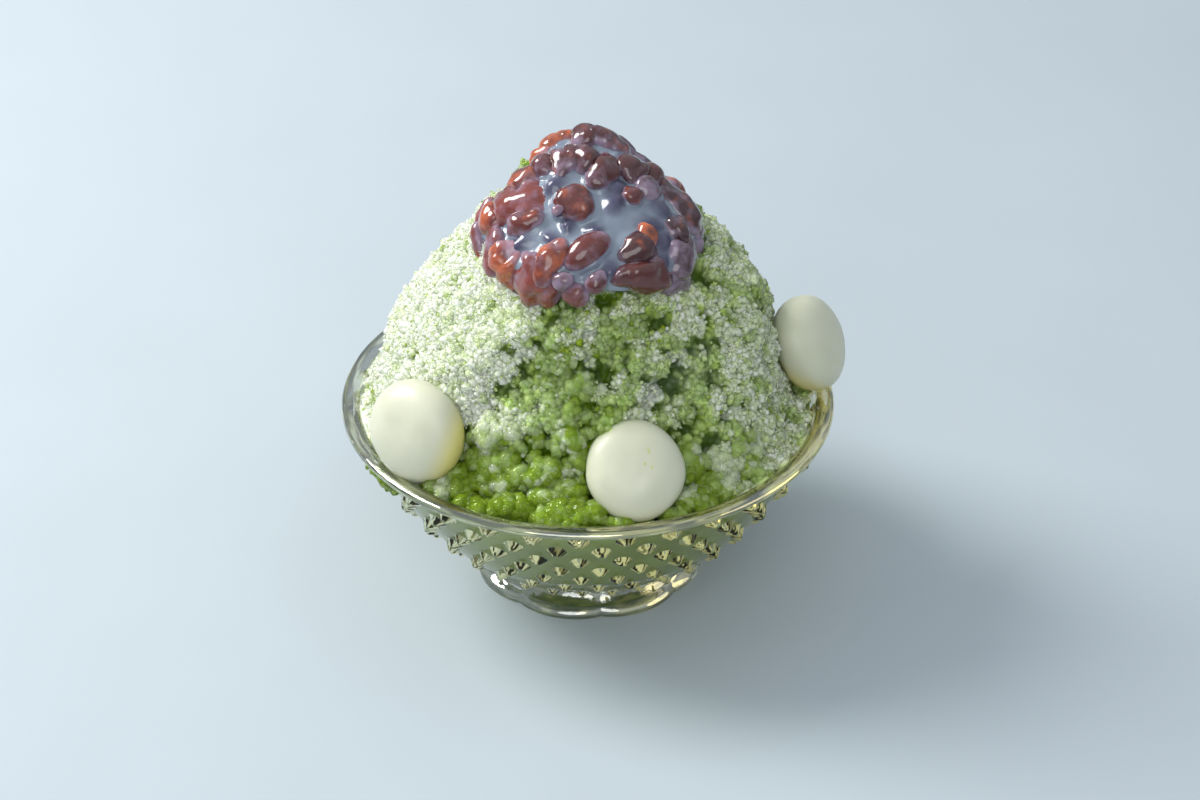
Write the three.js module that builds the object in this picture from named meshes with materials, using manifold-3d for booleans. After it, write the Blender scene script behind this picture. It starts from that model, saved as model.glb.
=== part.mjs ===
// A footed dish of pressed glass, heaped with green shaved ice, with sweet red beans in
// condensed milk poured over the peak and three white rice dumplings leaning on the slope.
// Millimetres, +Z up. The origin is the centre of the flat underside of the foot.
import * as THREE from 'three';
import { mergeVertices } from 'three/addons/utils/BufferGeometryUtils.js';
import Module from 'manifold-3d';

const wasm = await Module();
wasm.setup();

// ---- Driving dimensions -------------------------------------------------------------

const CLEARANCE = 0.35; // gap kept between touching pieces

// Glass dish
const RIM_RADIUS = 62.5;
const RIM_HEIGHT = 49.5;
const LIP_THICKNESS = 2.9; // rounded lip, measured across
const LIP_DEPTH = 2.9; // plain band below the top of the rim
const LIP_FLARE = 1; // height over which the band flares out from the wall
const LIP_ROUNDING = 0.4; // drop of the lip's outer edge below its crest
const CREST_PART = 0.7; // half width of the flat crest, as a part of the lip's
const WALL_THICKNESS = 3.4; // measured level, not square to the wall
const WALL_FOOT_HEIGHT = 9; // height at which the bowl leaves the foot
const WALL_FOOT_RADIUS = 27;
const WALL_TOP_HEIGHT = 47;
const WALL_TOP_RADIUS = 59.6;
const WALL_CURVE = 0.615; // power of the bowl's curve from foot to lip
const BOWL_FLOOR = 14.5; // height of the bottom of the hollow
const INSIDE_LEVELS = [20, 26, 33, 40, 45]; // heights of the rings of the bowl's inside
const HOLLOW_SIDES = 36;
const NAILS_AROUND = 32; // studs in one row, staggered from row to row
const NAIL_ROWS = 7;
const TOP_NAIL_HEIGHT = 45;
const NAIL_PITCH = 5; // from one row of studs to the next, in height
const NAIL_REACH = 2.7; // how far a stud of the widest row stands out
const NAIL_TURN = THREE.MathUtils.degToRad(-80.7);
const FOOT_RADIUS = 29.8;
const FOOT_PINCH = 1.7; // how far the outline draws in between two petals
const FOOT_PETALS = 8;
const FOOT_TURN = THREE.MathUtils.degToRad(-83);
const NECK_RADIUS = 24;
const FOOT_SWELL = 0.7; // power of the petals' outline: less is fuller
const FOOT_LEVELS = [
  // part of the way from the neck's radius to the foot's
  { height: 0, flare: 0.94 },
  { height: 1.6, flare: 1 },
  { height: 3.6, flare: 0.6 },
  { height: 6, flare: 0.22 },
  { height: 10, flare: 0 },
];

// Heap of shaved ice
const MOUND_BASE_HEIGHT = 47;
const MOUND_BASE_RADIUS = 56.6;
const MOUND_PEAK_HEIGHT = 118;
const MOUND_WIDTH_POWER = 1.65;
const MOUND_HEIGHT_POWER = 1.3;
const MOUND_ROUGHNESS = 0.7; // how far the two waves of the skin reach, taken together
const MOUND_COLUMNS = 32;
const MOUND_LEVELS = [47.4, 49.5, 52, 56, 61, 67, 73, 79, 85, 91, 97, 103, 108, 112, 115.6];
const BOWL_FILL_GAP = 0.5; // from the ice to the bowl's inside, measured level
const PEAK_MARGIN = 1.6; // how much more than the sides the peak grows by a margin
const SWELLS = [
  { angle: 0, height: 84, reach: 3.4, spread: 0.55, rise: 9 }, // right shoulder
  { angle: 3.1, height: 73, reach: 2.4, spread: 0.5, rise: 12 }, // left side
  { angle: -0.12, height: 57, reach: -4, spread: 0.4, rise: 11 }, // beside the right dumpling
];
const HOLLOW = {
  angle: -1.4,
  height: 63,
  depth: 7.8,
  rise: 25,
  right: 0.62,
  leftAbove: 0.5,
  leftBelow: 1.45,
  narrowing: 1.5, // how fast the left side draws in as the hollow rises
  ledge: 4, // how soon the hollow sets in above the level of the rim
};
const SEAT_DEPTH = 10; // how far the ice is opened in front of a dumpling

// Beans and milk on the peak
const TOPPING = { x: 0.8, y: -6.5, z: 103, width: 28.4, rise: 23.4, drop: 19 };
const TOPPING_CONE_POWER = 1.5; // upper half: 1 is a cone, 2 a ball
const TOPPING_BELLY_POWER = 2.3; // lower half, rounder
const TOPPING_LEAN_BACK = 0.28; // slope of its axis, back as it rises
const TOPPING_FINENESS = 6;
const BEAN_BUMPS = 90;
const BEAN_BUMP_RISE = 1.2;
const BEAN_BUMP_SPREAD = 0.19; // radians, as seen from the middle of the topping

// Rice dumplings: place of the middle, and the way the flat side faces
const DUMPLINGS = [
  { side: 'left', at: [-42.3, -31.4, 59], faces: [-0.587, -0.741, 0.31], radius: 12.6 },
  { side: 'front', at: [11.5, -46.4, 56.8], faces: [0.03, -0.75, 0.66], radius: 12.4 },
  { side: 'right', at: [56.2, 5.4, 61.8], faces: [0.807, -0.392, 0.443], radius: 12.3 },
];
const DUMPLING_HALF = 7.4; // half of its thickness, without the dimple
const DUMPLING_FULLNESS = 2.3; // 2 is an ellipsoid, more is flatter on top
const DUMPLING_DIMPLE = 0.9;
const DIMPLE_RADIUS = 5;
const DUMPLING_FINENESS = 3;

// ---- Finishes -----------------------------------------------------------------------

const finish = (color, roughness, metalness = 0) =>
  new THREE.MeshStandardMaterial({ color, roughness, metalness, flatShading: true });

const GLASS = finish(0xd6dfc8, 0.05);
const ICE = finish(0x9fb86a, 0.35);
const BEANS = finish(0x7a3b38, 0.25);
const DUMPLING = finish(0xeef0e4, 0.3);

// ---- Small helpers ------------------------------------------------------------------

const bell = (distance, spread) => Math.exp(-((distance / spread) ** 2));
const flatBell = (distance, spread) => Math.exp(-((distance / spread) ** 4));

/** The signed turn from one angle to another, between -PI and PI. */
const turnFrom = (from, to) => Math.atan2(Math.sin(to - from), Math.cos(to - from));

/**
 * A closed body of rings stacked upwards. pointOf(ring, column) gives each corner, and a
 * fan around the middle of the first and of the last ring closes the two ends. The cuts
 * across the quads alternate, so that they meet at every other corner.
 */
function stackedRings(ringCount, columns, pointOf) {
  const positions = [];
  const faces = [];
  for (let ring = 0; ring < ringCount; ring += 1) {
    for (let column = 0; column < columns; column += 1) positions.push(...pointOf(ring, column));
  }
  const middleOf = (ring) => {
    const sum = [0, 0, 0];
    for (let column = 0; column < columns; column += 1) {
      for (let axis = 0; axis < 3; axis += 1) sum[axis] += positions[3 * (ring * columns + column) + axis];
    }
    return sum.map((value) => value / columns);
  };
  const bottom = ringCount * columns;
  const top = bottom + 1;
  positions.push(...middleOf(0), ...middleOf(ringCount - 1));
  for (let column = 0; column < columns; column += 1) {
    const next = (column + 1) % columns;
    for (let ring = 0; ring + 1 < ringCount; ring += 1) {
      const [a, b] = [ring * columns + column, ring * columns + next];
      const [c, d] = [a + columns, b + columns];
      if ((ring + column) % 2 === 1) faces.push(a, b, d, a, d, c);
      else faces.push(a, b, c, b, d, c);
    }
    const last = (ringCount - 1) * columns;
    faces.push(bottom, next, column, top, last + column, last + next);
  }
  const geometry = new THREE.BufferGeometry();
  geometry.setAttribute('position', new THREE.Float32BufferAttribute(positions, 3));
  geometry.setIndex(faces);
  return geometry;
}

/** A solid from a closed geometry, with the vertices that share a place merged. */
function solidOf(geometry) {
  const bare = geometry.clone();
  bare.deleteAttribute('normal');
  bare.deleteAttribute('uv');
  const merged = mergeVertices(bare, 1e-4);
  return new wasm.Manifold(
    new wasm.Mesh({
      numProp: 3,
      vertProperties: new Float32Array(merged.attributes.position.array),
      triVerts: new Uint32Array(merged.index.array),
    }),
  );
}

/** A named mesh from a solid. */
function meshOf(solid, name, material) {
  const { vertProperties, triVerts } = solid.getMesh();
  const geometry = new THREE.BufferGeometry();
  geometry.setAttribute('position', new THREE.BufferAttribute(vertProperties, 3));
  geometry.setIndex(new THREE.BufferAttribute(triVerts, 1));
  geometry.computeVertexNormals();
  const mesh = new THREE.Mesh(geometry, material);
  mesh.name = name;
  return mesh;
}

// ---- Glass dish ---------------------------------------------------------------------

/** Radius of the outside of the bowl between the studs, at a height. */
function wallRadius(height) {
  const part = Math.max(0, (height - WALL_FOOT_HEIGHT) / (WALL_TOP_HEIGHT - WALL_FOOT_HEIGHT));
  return WALL_FOOT_RADIUS + (WALL_TOP_RADIUS - WALL_FOOT_RADIUS) * part ** WALL_CURVE;
}

/** The way square to the outside of the bowl, as [outwards, upwards]. */
function wallNormal(height) {
  const step = 0.1;
  const slope = (wallRadius(height + step) - wallRadius(height - step)) / (2 * step);
  const length = Math.hypot(1, slope);
  return [1 / length, -slope / length];
}

/** The studded outside: each stud is one raised corner, with plain rings between rows. */
function studdedBowl() {
  const columnsPerNail = 4;
  const columns = NAILS_AROUND * columnsPerNail;
  const rings = [
    { radius: NECK_RADIUS - 1, height: WALL_FOOT_HEIGHT - 2 },
    { radius: WALL_FOOT_RADIUS, height: WALL_FOOT_HEIGHT },
  ];
  for (let row = NAIL_ROWS - 1; row >= 0; row -= 1) {
    const tip = TOP_NAIL_HEIGHT - row * NAIL_PITCH;
    const below = tip - NAIL_PITCH / 2;
    rings.push({ radius: wallRadius(below), height: below });
    rings.push({ radius: wallRadius(tip), height: tip, row });
  }
  const lipBottom = RIM_HEIGHT - LIP_DEPTH;
  const lipMiddle = RIM_RADIUS - LIP_THICKNESS / 2;
  rings.push({ radius: wallRadius(lipBottom), height: lipBottom });
  const crestRadius = lipMiddle + (CREST_PART * LIP_THICKNESS) / 2;
  rings.push({ radius: RIM_RADIUS, height: lipBottom + LIP_FLARE });
  rings.push({ radius: crestRadius, height: RIM_HEIGHT - LIP_ROUNDING });
  rings.push({ radius: lipMiddle, height: RIM_HEIGHT });
  return stackedRings(rings.length, columns, (index, column) => {
    const { radius, height, row } = rings[index];
    const angle = NAIL_TURN + (2 * Math.PI * column) / columns;
    const stagger = (columnsPerNail / 2) * (row % 2);
    const isTip = row !== undefined && (column + stagger) % columnsPerNail === 0;
    const reach = isTip ? (NAIL_REACH * radius) / WALL_TOP_RADIUS : 0;
    const [outwards, upwards] = wallNormal(height);
    const at = radius + reach * outwards;
    return [at * Math.cos(angle), at * Math.sin(angle), height + reach * upwards];
  });
}

/** The inside of the bowl as [radius, height] points, from the middle of its floor up. */
function hollowProfile() {
  const inside = (height) => [wallRadius(height) - WALL_THICKNESS, height];
  const lipInside = RIM_RADIUS - LIP_THICKNESS;
  return [
    [0, BOWL_FLOOR],
    [20, BOWL_FLOOR + 0.4],
    [28, BOWL_FLOOR + 2],
    ...INSIDE_LEVELS.map(inside),
    [lipInside, RIM_HEIGHT - LIP_THICKNESS / 2],
    [RIM_RADIUS - LIP_THICKNESS / 2, RIM_HEIGHT],
    [RIM_RADIUS - LIP_THICKNESS / 2, RIM_HEIGHT + 1],
    [0, RIM_HEIGHT + 1],
  ];
}

/** The flared foot, its outline drawn in between eight petals. */
function petalledFoot() {
  const columnsPerPetal = 6;
  const columns = columnsPerPetal * FOOT_PETALS;
  return stackedRings(FOOT_LEVELS.length, columns, (level, column) => {
    const turn = (2 * Math.PI * column) / columns;
    const angle = FOOT_TURN + turn;
    const swell = Math.abs(Math.sin((FOOT_PETALS / 2) * turn)) ** FOOT_SWELL;
    const outline = FOOT_RADIUS - FOOT_PINCH * (1 - swell);
    const { height, flare } = FOOT_LEVELS[level];
    const radius = NECK_RADIUS + (outline - NECK_RADIUS) * flare;
    return [radius * Math.cos(angle), radius * Math.sin(angle), height];
  });
}

function glassDish() {
  const profile = hollowProfile().map(([radius, height]) => new THREE.Vector2(radius, height));
  const hollow = new THREE.LatheGeometry(profile, HOLLOW_SIDES);
  hollow.rotateX(Math.PI / 2);
  const solid = solidOf(studdedBowl()).add(solidOf(petalledFoot())).subtract(solidOf(hollow));
  return meshOf(solid, 'glass_dish', GLASS);
}

// ---- Shaved ice ---------------------------------------------------------------------

/**
 * Radius of the heap at a height above the rim and an angle: a rounded cone that swells
 * at both sides, with a wide hollow in front under the topping, whose left edge is a ridge
 * that slants outwards as it comes down, and a rough skin.
 */
function moundRadius(height, angle) {
  const part = Math.min(1, (height - MOUND_BASE_HEIGHT) / (MOUND_PEAK_HEIGHT - MOUND_BASE_HEIGHT));
  const cone = MOUND_BASE_RADIUS * (1 - part ** MOUND_HEIGHT_POWER) ** (1 / MOUND_WIDTH_POWER);
  const swell = SWELLS.reduce(
    (sum, { angle: middle, height: level, reach, spread, rise }) =>
      sum + reach * bell(turnFrom(middle, angle), spread) * bell(height - level, rise),
    0,
  );
  const turn = turnFrom(HOLLOW.angle, angle);
  const drawnIn = Math.min(1, HOLLOW.narrowing * part);
  const left = HOLLOW.leftBelow + (HOLLOW.leftAbove - HOLLOW.leftBelow) * drawnIn;
  const across = flatBell(turn, turn < 0 ? left : HOLLOW.right);
  const aboveLedge = 1 - Math.exp((MOUND_BASE_HEIGHT - height) / HOLLOW.ledge);
  const hollow = HOLLOW.depth * across * aboveLedge * flatBell(height - HOLLOW.height, HOLLOW.rise);
  const skin = Math.sin(3 * angle + 0.21 * height) + Math.sin(7 * angle - 0.33 * height + 1);
  return cone + swell - hollow + 0.5 * MOUND_ROUGHNESS * skin * (1 - part);
}

/** The heap from the floor of the bowl to its peak, grown outwards by a margin. */
function iceBody(margin) {
  const inBowl = hollowProfile()
    .filter(([radius, height]) => radius > 0 && height <= Math.max(...INSIDE_LEVELS))
    .map(([radius, height]) => ({ radius: radius - BOWL_FILL_GAP, height: height + CLEARANCE }));
  const heights = [...inBowl.map((ring) => ring.height), ...MOUND_LEVELS];
  return stackedRings(heights.length, MOUND_COLUMNS, (ring, column) => {
    const angle = (2 * Math.PI * column) / MOUND_COLUMNS;
    const height = heights[ring];
    const radius = ring < inBowl.length ? inBowl[ring].radius : moundRadius(height, angle);
    const grown = radius + margin;
    const lift = ring === heights.length - 1 ? PEAK_MARGIN * margin : (margin * height) / MOUND_PEAK_HEIGHT;
    return [grown * Math.cos(angle), grown * Math.sin(angle), height + lift];
  });
}

// ---- Beans and milk -----------------------------------------------------------------

/**
 * A cap that is cone-like above and round below, raised in bean-sized bumps that are
 * spread evenly around it. Its upper half leans back over the peak of the ice.
 */
function toppingBody() {
  const geometry = new THREE.IcosahedronGeometry(1, TOPPING_FINENESS);
  const goldenTurn = Math.PI * (3 - Math.sqrt(5));
  const bumps = Array.from({ length: BEAN_BUMPS }, (_, index) => {
    const level = 1 - (2 * index + 1) / BEAN_BUMPS;
    const around = Math.sqrt(1 - level * level);
    const turn = goldenTurn * index;
    return new THREE.Vector3(around * Math.cos(turn), around * Math.sin(turn), level);
  });
  const position = geometry.attributes.position;
  for (let index = 0; index < position.count; index += 1) {
    const way = new THREE.Vector3().fromBufferAttribute(position, index).normalize();
    const power = way.z > 0 ? TOPPING_CONE_POWER : TOPPING_BELLY_POWER;
    const tall = way.z > 0 ? TOPPING.rise : TOPPING.drop;
    const wide = Math.hypot(way.x, way.y) / TOPPING.width;
    const reach = (wide ** power + (Math.abs(way.z) / tall) ** power) ** (-1 / power);
    const nearest = Math.min(...bumps.map((bump) => way.angleTo(bump)));
    const rise = BEAN_BUMP_RISE * (2 * bell(nearest, BEAN_BUMP_SPREAD) - 1);
    const { x, y, z } = way.multiplyScalar(reach + rise);
    const back = TOPPING_LEAN_BACK * Math.max(0, z);
    position.setXYZ(index, TOPPING.x + x, TOPPING.y + y + back, TOPPING.z + z);
  }
  return geometry;
}

// ---- Rice dumplings -----------------------------------------------------------------

/** A ball of dough pressed flat, with a thumb's dimple in each side, grown by a margin. */
function dumplingBody({ radius }, margin, fineness) {
  const geometry = new THREE.IcosahedronGeometry(1, fineness);
  const position = geometry.attributes.position;
  for (let index = 0; index < position.count; index += 1) {
    const way = new THREE.Vector3().fromBufferAttribute(position, index).normalize();
    const wide = (Math.hypot(way.x, way.y) / radius) ** DUMPLING_FULLNESS;
    const thick = (Math.abs(way.z) / DUMPLING_HALF) ** DUMPLING_FULLNESS;
    const full = (wide + thick) ** (-1 / DUMPLING_FULLNESS);
    const point = way.clone().multiplyScalar(full + margin);
    const dimple = DUMPLING_DIMPLE * bell(Math.hypot(point.x, point.y), DIMPLE_RADIUS) * Math.sign(point.z);
    position.setXYZ(index, point.x, point.y, point.z - dimple);
  }
  return geometry;
}

/** Moves a geometry or a mesh from the origin to its dumpling's place, and turns +Z its way. */
function dumplingMatrix({ at, faces }) {
  const turn = new THREE.Quaternion().setFromUnitVectors(
    new THREE.Vector3(0, 0, 1),
    new THREE.Vector3(...faces).normalize(),
  );
  return new THREE.Matrix4().compose(new THREE.Vector3(...at), turn, new THREE.Vector3(1, 1, 1));
}

function dumplingMesh(dumpling) {
  const solid = solidOf(dumplingBody(dumpling, 0, DUMPLING_FINENESS));
  const mesh = meshOf(solid, `dumpling_${dumpling.side}`, DUMPLING);
  mesh.applyMatrix4(dumplingMatrix(dumpling));
  return mesh;
}

/** The room that a dumpling takes up in the ice, opened towards the side that it faces. */
function dumplingSeat(dumpling) {
  const matrix = dumplingMatrix(dumpling);
  const opening = new THREE.Matrix4().makeTranslation(0, 0, SEAT_DEPTH);
  const socket = dumplingBody(dumpling, 2 * CLEARANCE, DUMPLING_FINENESS - 1);
  const outer = socket.clone().applyMatrix4(opening).applyMatrix4(matrix);
  return solidOf(socket.applyMatrix4(matrix)).add(solidOf(outer));
}

// ---- The whole dessert --------------------------------------------------------------

const ice = DUMPLINGS.reduce(
  (solid, dumpling) => solid.subtract(dumplingSeat(dumpling)),
  solidOf(iceBody(0)),
);
const topping = solidOf(toppingBody()).subtract(solidOf(iceBody(CLEARANCE)));

const kakigori = new THREE.Group();
kakigori.add(glassDish());
kakigori.add(meshOf(ice, 'ice_heap', ICE));
kakigori.add(meshOf(topping, 'red_beans', BEANS));
for (const dumpling of DUMPLINGS) kakigori.add(dumplingMesh(dumpling));

export default kakigori;
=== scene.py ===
"""A portion of green shaved ice in a footed glass dish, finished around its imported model.

The shape maths is in millimetres, in the model's own frame: +Z up, the front at -Y, the
origin at the middle of the dish's flat underside. A mesh turns it into metres at the end.
"""

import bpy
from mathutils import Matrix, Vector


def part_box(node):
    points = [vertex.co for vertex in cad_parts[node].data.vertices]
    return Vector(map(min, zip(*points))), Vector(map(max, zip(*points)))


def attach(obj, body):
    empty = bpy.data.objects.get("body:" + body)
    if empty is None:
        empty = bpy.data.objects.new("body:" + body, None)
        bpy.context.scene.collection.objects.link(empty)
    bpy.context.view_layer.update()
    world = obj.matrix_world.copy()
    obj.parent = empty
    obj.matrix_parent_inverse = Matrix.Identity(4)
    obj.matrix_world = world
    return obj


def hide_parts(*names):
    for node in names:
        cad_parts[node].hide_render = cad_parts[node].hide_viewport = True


bl_info = {
    "name": "Shaved ice in a glass dish",
    "version": (1, 0, 0),
    "blender": (4, 5, 0),
    "location": "3D View > Sidebar > Shaved ice",
    "description": "Builds a green shaved ice with red beans, condensed milk and rice dumplings",
    "category": "Object",
}

import collections
import itertools
import math

import bpy
import numpy as np
from bpy.props import FloatProperty, FloatVectorProperty, IntProperty, PointerProperty

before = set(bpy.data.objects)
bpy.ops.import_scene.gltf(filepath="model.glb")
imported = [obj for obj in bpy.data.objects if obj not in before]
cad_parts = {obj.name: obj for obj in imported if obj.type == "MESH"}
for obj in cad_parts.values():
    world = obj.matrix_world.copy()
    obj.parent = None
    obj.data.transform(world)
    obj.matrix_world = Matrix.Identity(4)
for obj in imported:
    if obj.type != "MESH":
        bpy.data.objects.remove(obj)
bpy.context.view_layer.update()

MM = 0.001
DISH_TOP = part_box("glass_dish")[1]


def paint(red, green, blue):
    """A display colour of 0 to 255 as the linear colour that the shaders take, by the curve
    that displays share: a power of 2.4, and a straight line near black."""
    display = np.array([red, green, blue]) / 255
    curve = ((display + 0.055) / 1.055) ** 2.4
    return tuple(np.where(display <= 0.04045, display / 12.92, curve))


def length(name, description, default):
    """A property that holds a length in metres."""
    return FloatProperty(name=name, description=description, default=default, unit="LENGTH", precision=4)


def watts(name, description, default):
    """A property that holds the power of a light."""
    return FloatProperty(name=name, description=description, default=default, unit="POWER")


def colour(name, description, default):
    """A property that holds a colour."""
    return FloatVectorProperty(
        name=name, description=description, default=default, size=3, min=0, max=1, subtype="COLOR"
    )


# ---- Curves and noise ------------------------------------------------------------------


def smooth(value):
    """Eases from 0 to 1 as the value goes from 0 to 1: three squares less two cubes."""
    part = np.clip(value, 0, 1)
    return part * part * (3 - 2 * part)


def bell(distance, spread):
    """Gauss's bell, 1 in the middle and 1/e at the spread."""
    return np.exp(-((distance / spread) ** 2))


def flat_bell(distance, spread):
    """A bell with a flat top: e to the minus fourth power of the distance over the spread."""
    return np.exp(-((distance / spread) ** 4))


def turn_from(start, end):
    """The signed turn from one angle to another, between -pi and pi."""
    return np.arctan2(np.sin(end - start), np.cos(end - start))


def unit(vectors):
    """The vectors, each divided by its length."""
    return vectors / np.linalg.norm(vectors, axis=-1, keepdims=True)


# Large primes and shifts that turn the three whole numbers of a cube into one number
LATTICE_PRIMES = np.array([73856093, 19349663, 83492791])
SEED_STEP = 2654435
STIRS = ((13, 1274126177), (16, 2246822519))
LAST_SHIFT = 15
WORD = 2**32


def cell_number(cells, seed):
    """A repeatable number from 0 to 1 for each cube of a lattice: its three whole numbers
    times large primes, added up and stirred by shifts and products."""
    key = (cells * LATTICE_PRIMES).sum(-1) + seed * SEED_STEP
    for shift, factor in STIRS:
        key = ((key ^ (key >> shift)) * factor) & (WORD - 1)
    return (key ^ (key >> LAST_SHIFT)) / WORD


def cloud(points, size, seed):
    """Value noise from 0 to 1: the numbers at the eight corners of each cube of a size,
    blended with an eased step along each axis."""
    scaled = points / size
    low = np.floor(scaled).astype(np.int64)
    part = smooth(scaled - low)
    total = 0
    for corner in itertools.product((0, 1), repeat=3):
        weight = np.where(corner, part, 1 - part).prod(-1)
        total = total + weight * cell_number(low + corner, seed)
    return total


def layered(points, layers):
    """Value noise in layers, each with a share, a size and a seed, added up."""
    return sum(part * cloud(points, size, seed) for part, size, seed in layers)


def waves(points, *layers):
    """Noise about 0 in layers: value noise less a half, times a swing, added up. Each layer
    has a swing, a size and a seed."""
    return sum(swing * (cloud(points, size, seed) - 0.5) for swing, size, seed in layers)


def pebbles(points, size, seed):
    """Cell noise: how far, in cube sizes, the nearest of the points is that are strewn one
    to a cube, and a number from 0 to 1 that belongs to that point."""
    margin = 0.1
    scaled = points / size
    low = np.floor(scaled).astype(np.int64)
    nearest = np.full(scaled.shape[:-1], np.inf)
    mark = np.zeros(scaled.shape[:-1])
    for offset in itertools.product((-1, 0, 1), repeat=3):
        cell = low + offset
        jitter = np.stack([cell_number(cell, seed + axis) for axis in range(3)], -1)
        distance = np.linalg.norm(scaled - cell - margin - (1 - 2 * margin) * jitter, axis=-1)
        mark = np.where(distance < nearest, cell_number(cell, seed + 7), mark)
        nearest = np.minimum(nearest, distance)
    return nearest, mark


# ---- Meshes ----------------------------------------------------------------------------


def once_round(columns, start=0.0):
    """Evenly spaced angles once round the axis, as one row."""
    return np.linspace(start, start + 2 * np.pi, columns, endpoint=False)[None, :]


def turned(radius, angle, height):
    """Points at a distance from the axis, an angle round it and a height."""
    return np.stack(np.broadcast_arrays(radius * np.cos(angle), radius * np.sin(angle), height), -1)


def ball_ways(rings, columns, margin):
    """Unit vectors all over a ball, from its low pole to its high one, each but for a small
    angle: the sine and the cosine of the angle from the pole give distance and height."""
    polar = np.linspace(margin, np.pi - margin, rings)[::-1, None]
    return turned(np.sin(polar), once_round(columns), np.cos(polar))


def copies(local, axes, centres, faces):
    """Points and triangles of many bodies of one kind: the points of each are turned to its
    axes and moved to its middle, and its triangles follow those of the one before."""
    points = local @ axes + centres[:, None, :]
    offsets = np.arange(len(centres))[:, None, None] * local.shape[1]
    return points.reshape(-1, 3), (faces[None] + offsets).reshape(-1, 3)


def tube_faces(rings, columns):
    """Triangles of a closed grid of rings, without its ends."""
    ring, column = np.meshgrid(np.arange(rings - 1), np.arange(columns), indexing="ij")
    after = (column + 1) % columns
    a, b = ring * columns + column, ring * columns + after
    c, d = a + columns, b + columns
    return np.concatenate([np.stack([a, b, d], -1), np.stack([a, d, c], -1)]).reshape(-1, 3)


def closed_faces(rings, columns):
    """Triangles of a closed grid of rings, whose ends are fans round two added points."""
    column = np.arange(columns)
    after = (column + 1) % columns
    low, high = np.full(columns, rings * columns), np.full(columns, rings * columns + 1)
    last = (rings - 1) * columns
    bottom = np.stack([low, after, column], -1)
    top = np.stack([high, last + column, last + after], -1)
    return np.concatenate([tube_faces(rings, columns), bottom, top])


def closed_points(grid):
    """The corners of a grid of rings, and the middles of its first and last ring."""
    ends = np.stack([grid[0].mean(0), grid[-1].mean(0)])
    return np.concatenate([grid.reshape(-1, 3), ends])


def seam_faces(first, columns, second, others):
    """Triangles between two rings of different numbers of points, given by the first point
    of each: every edge of one ring meets the nearest point of the other."""
    edge = np.arange(columns)
    near = ((edge + 0.5) * others / columns + 0.5).astype(int) % others
    below = np.stack([first + edge, first + (edge + 1) % columns, second + near], -1)
    edge = np.arange(others)
    near = ((edge + 0.5) * columns / others + 0.5).astype(int) % columns
    above = np.stack([first + near, second + (edge + 1) % others, second + edge], -1)
    return np.concatenate([below, above])


def stacked_faces(grids):
    """Triangles of a closed shape that is a stack of grids with their own numbers of columns,
    for its points in order and then the middles of its first and last ring."""
    faces = []
    first = 0
    for below, grid in zip([None, *grids], grids):
        rings, columns = grid.shape[:2]
        if below is not None:
            faces.append(seam_faces(first - below.shape[1], below.shape[1], first, columns))
        faces.append(tube_faces(rings, columns) + first)
        first += rings * columns
    low, high = np.arange(grids[0].shape[1]), first - grids[-1].shape[1] + np.arange(grids[-1].shape[1])
    faces.append(np.stack([np.full(len(low), first), np.roll(low, -1), low], -1))
    faces.append(np.stack([np.full(len(high), first + 1), high, np.roll(high, -1)], -1))
    return np.concatenate(faces)


def closed_values(values):
    """One value for each point of closed_points."""
    return np.concatenate([values.reshape(-1), [values[0].mean(), values[-1].mean()]])


def mesh_piece(name, points, faces, node, attributes=None, flat=False):
    """A piece of the object from points in millimetres and triangles, which rides on the
    body and stands for a node. The attributes hold one number for each point."""
    mesh = bpy.data.meshes.new(name)
    mesh.vertices.add(len(points))
    mesh.vertices.foreach_set("co", (points * MM).astype(np.float32).ravel())
    mesh.loops.add(faces.size)
    mesh.loops.foreach_set("vertex_index", faces.astype(np.int32).ravel())
    mesh.polygons.add(len(faces))
    mesh.polygons.foreach_set("loop_start", np.arange(0, faces.size, 3, dtype=np.int32))
    mesh.update(calc_edges=True)
    if not flat:
        mesh.shade_smooth()
    for key, values in (attributes or {}).items():
        layer = mesh.attributes.new(key, "FLOAT", "POINT")
        layer.data.foreach_set("value", np.asarray(values, np.float32))
    piece = bpy.data.objects.new(name, mesh)
    bpy.context.scene.collection.objects.link(piece)
    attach(piece, "root")
    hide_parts(node)
    return piece


def grid_piece(name, grid, node, slot, **attributes):
    """A closed piece from a grid of rings, with attributes that hold one number for each of
    its places."""
    values = {key: closed_values(numbers) for key, numbers in attributes.items()}
    return mesh_piece(name, closed_points(grid), closed_faces(*grid.shape[:2]), node, values)


def grid_normals(grid):
    """Outward unit normals of a closed grid of rings that rises from its first ring. A trace
    is added so that no vector has a length of 0."""
    trace = 1e-9
    up = np.gradient(grid, axis=0)
    around = np.roll(grid, -1, axis=1) - np.roll(grid, 1, axis=1)
    return unit(np.cross(around, up) + trace)


# ---- Materials -------------------------------------------------------------------------


BLACK = (0.0, 0.0, 0.0)
WHITE = (1.0, 1.0, 1.0)
NOISE_DETAIL = 2.0
# The sockets of a Mix node that carry colour
MIX_FACTOR, MIX_LOW, MIX_HIGH, MIX_RESULT = 0, 6, 7, 2


def dimmed(colour_value, part):
    """A colour times a part of 1."""
    return tuple(part * channel for channel in colour_value)


def opaque(colour_value):
    """A colour with full alpha."""
    return (*colour_value, 1.0)


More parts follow.
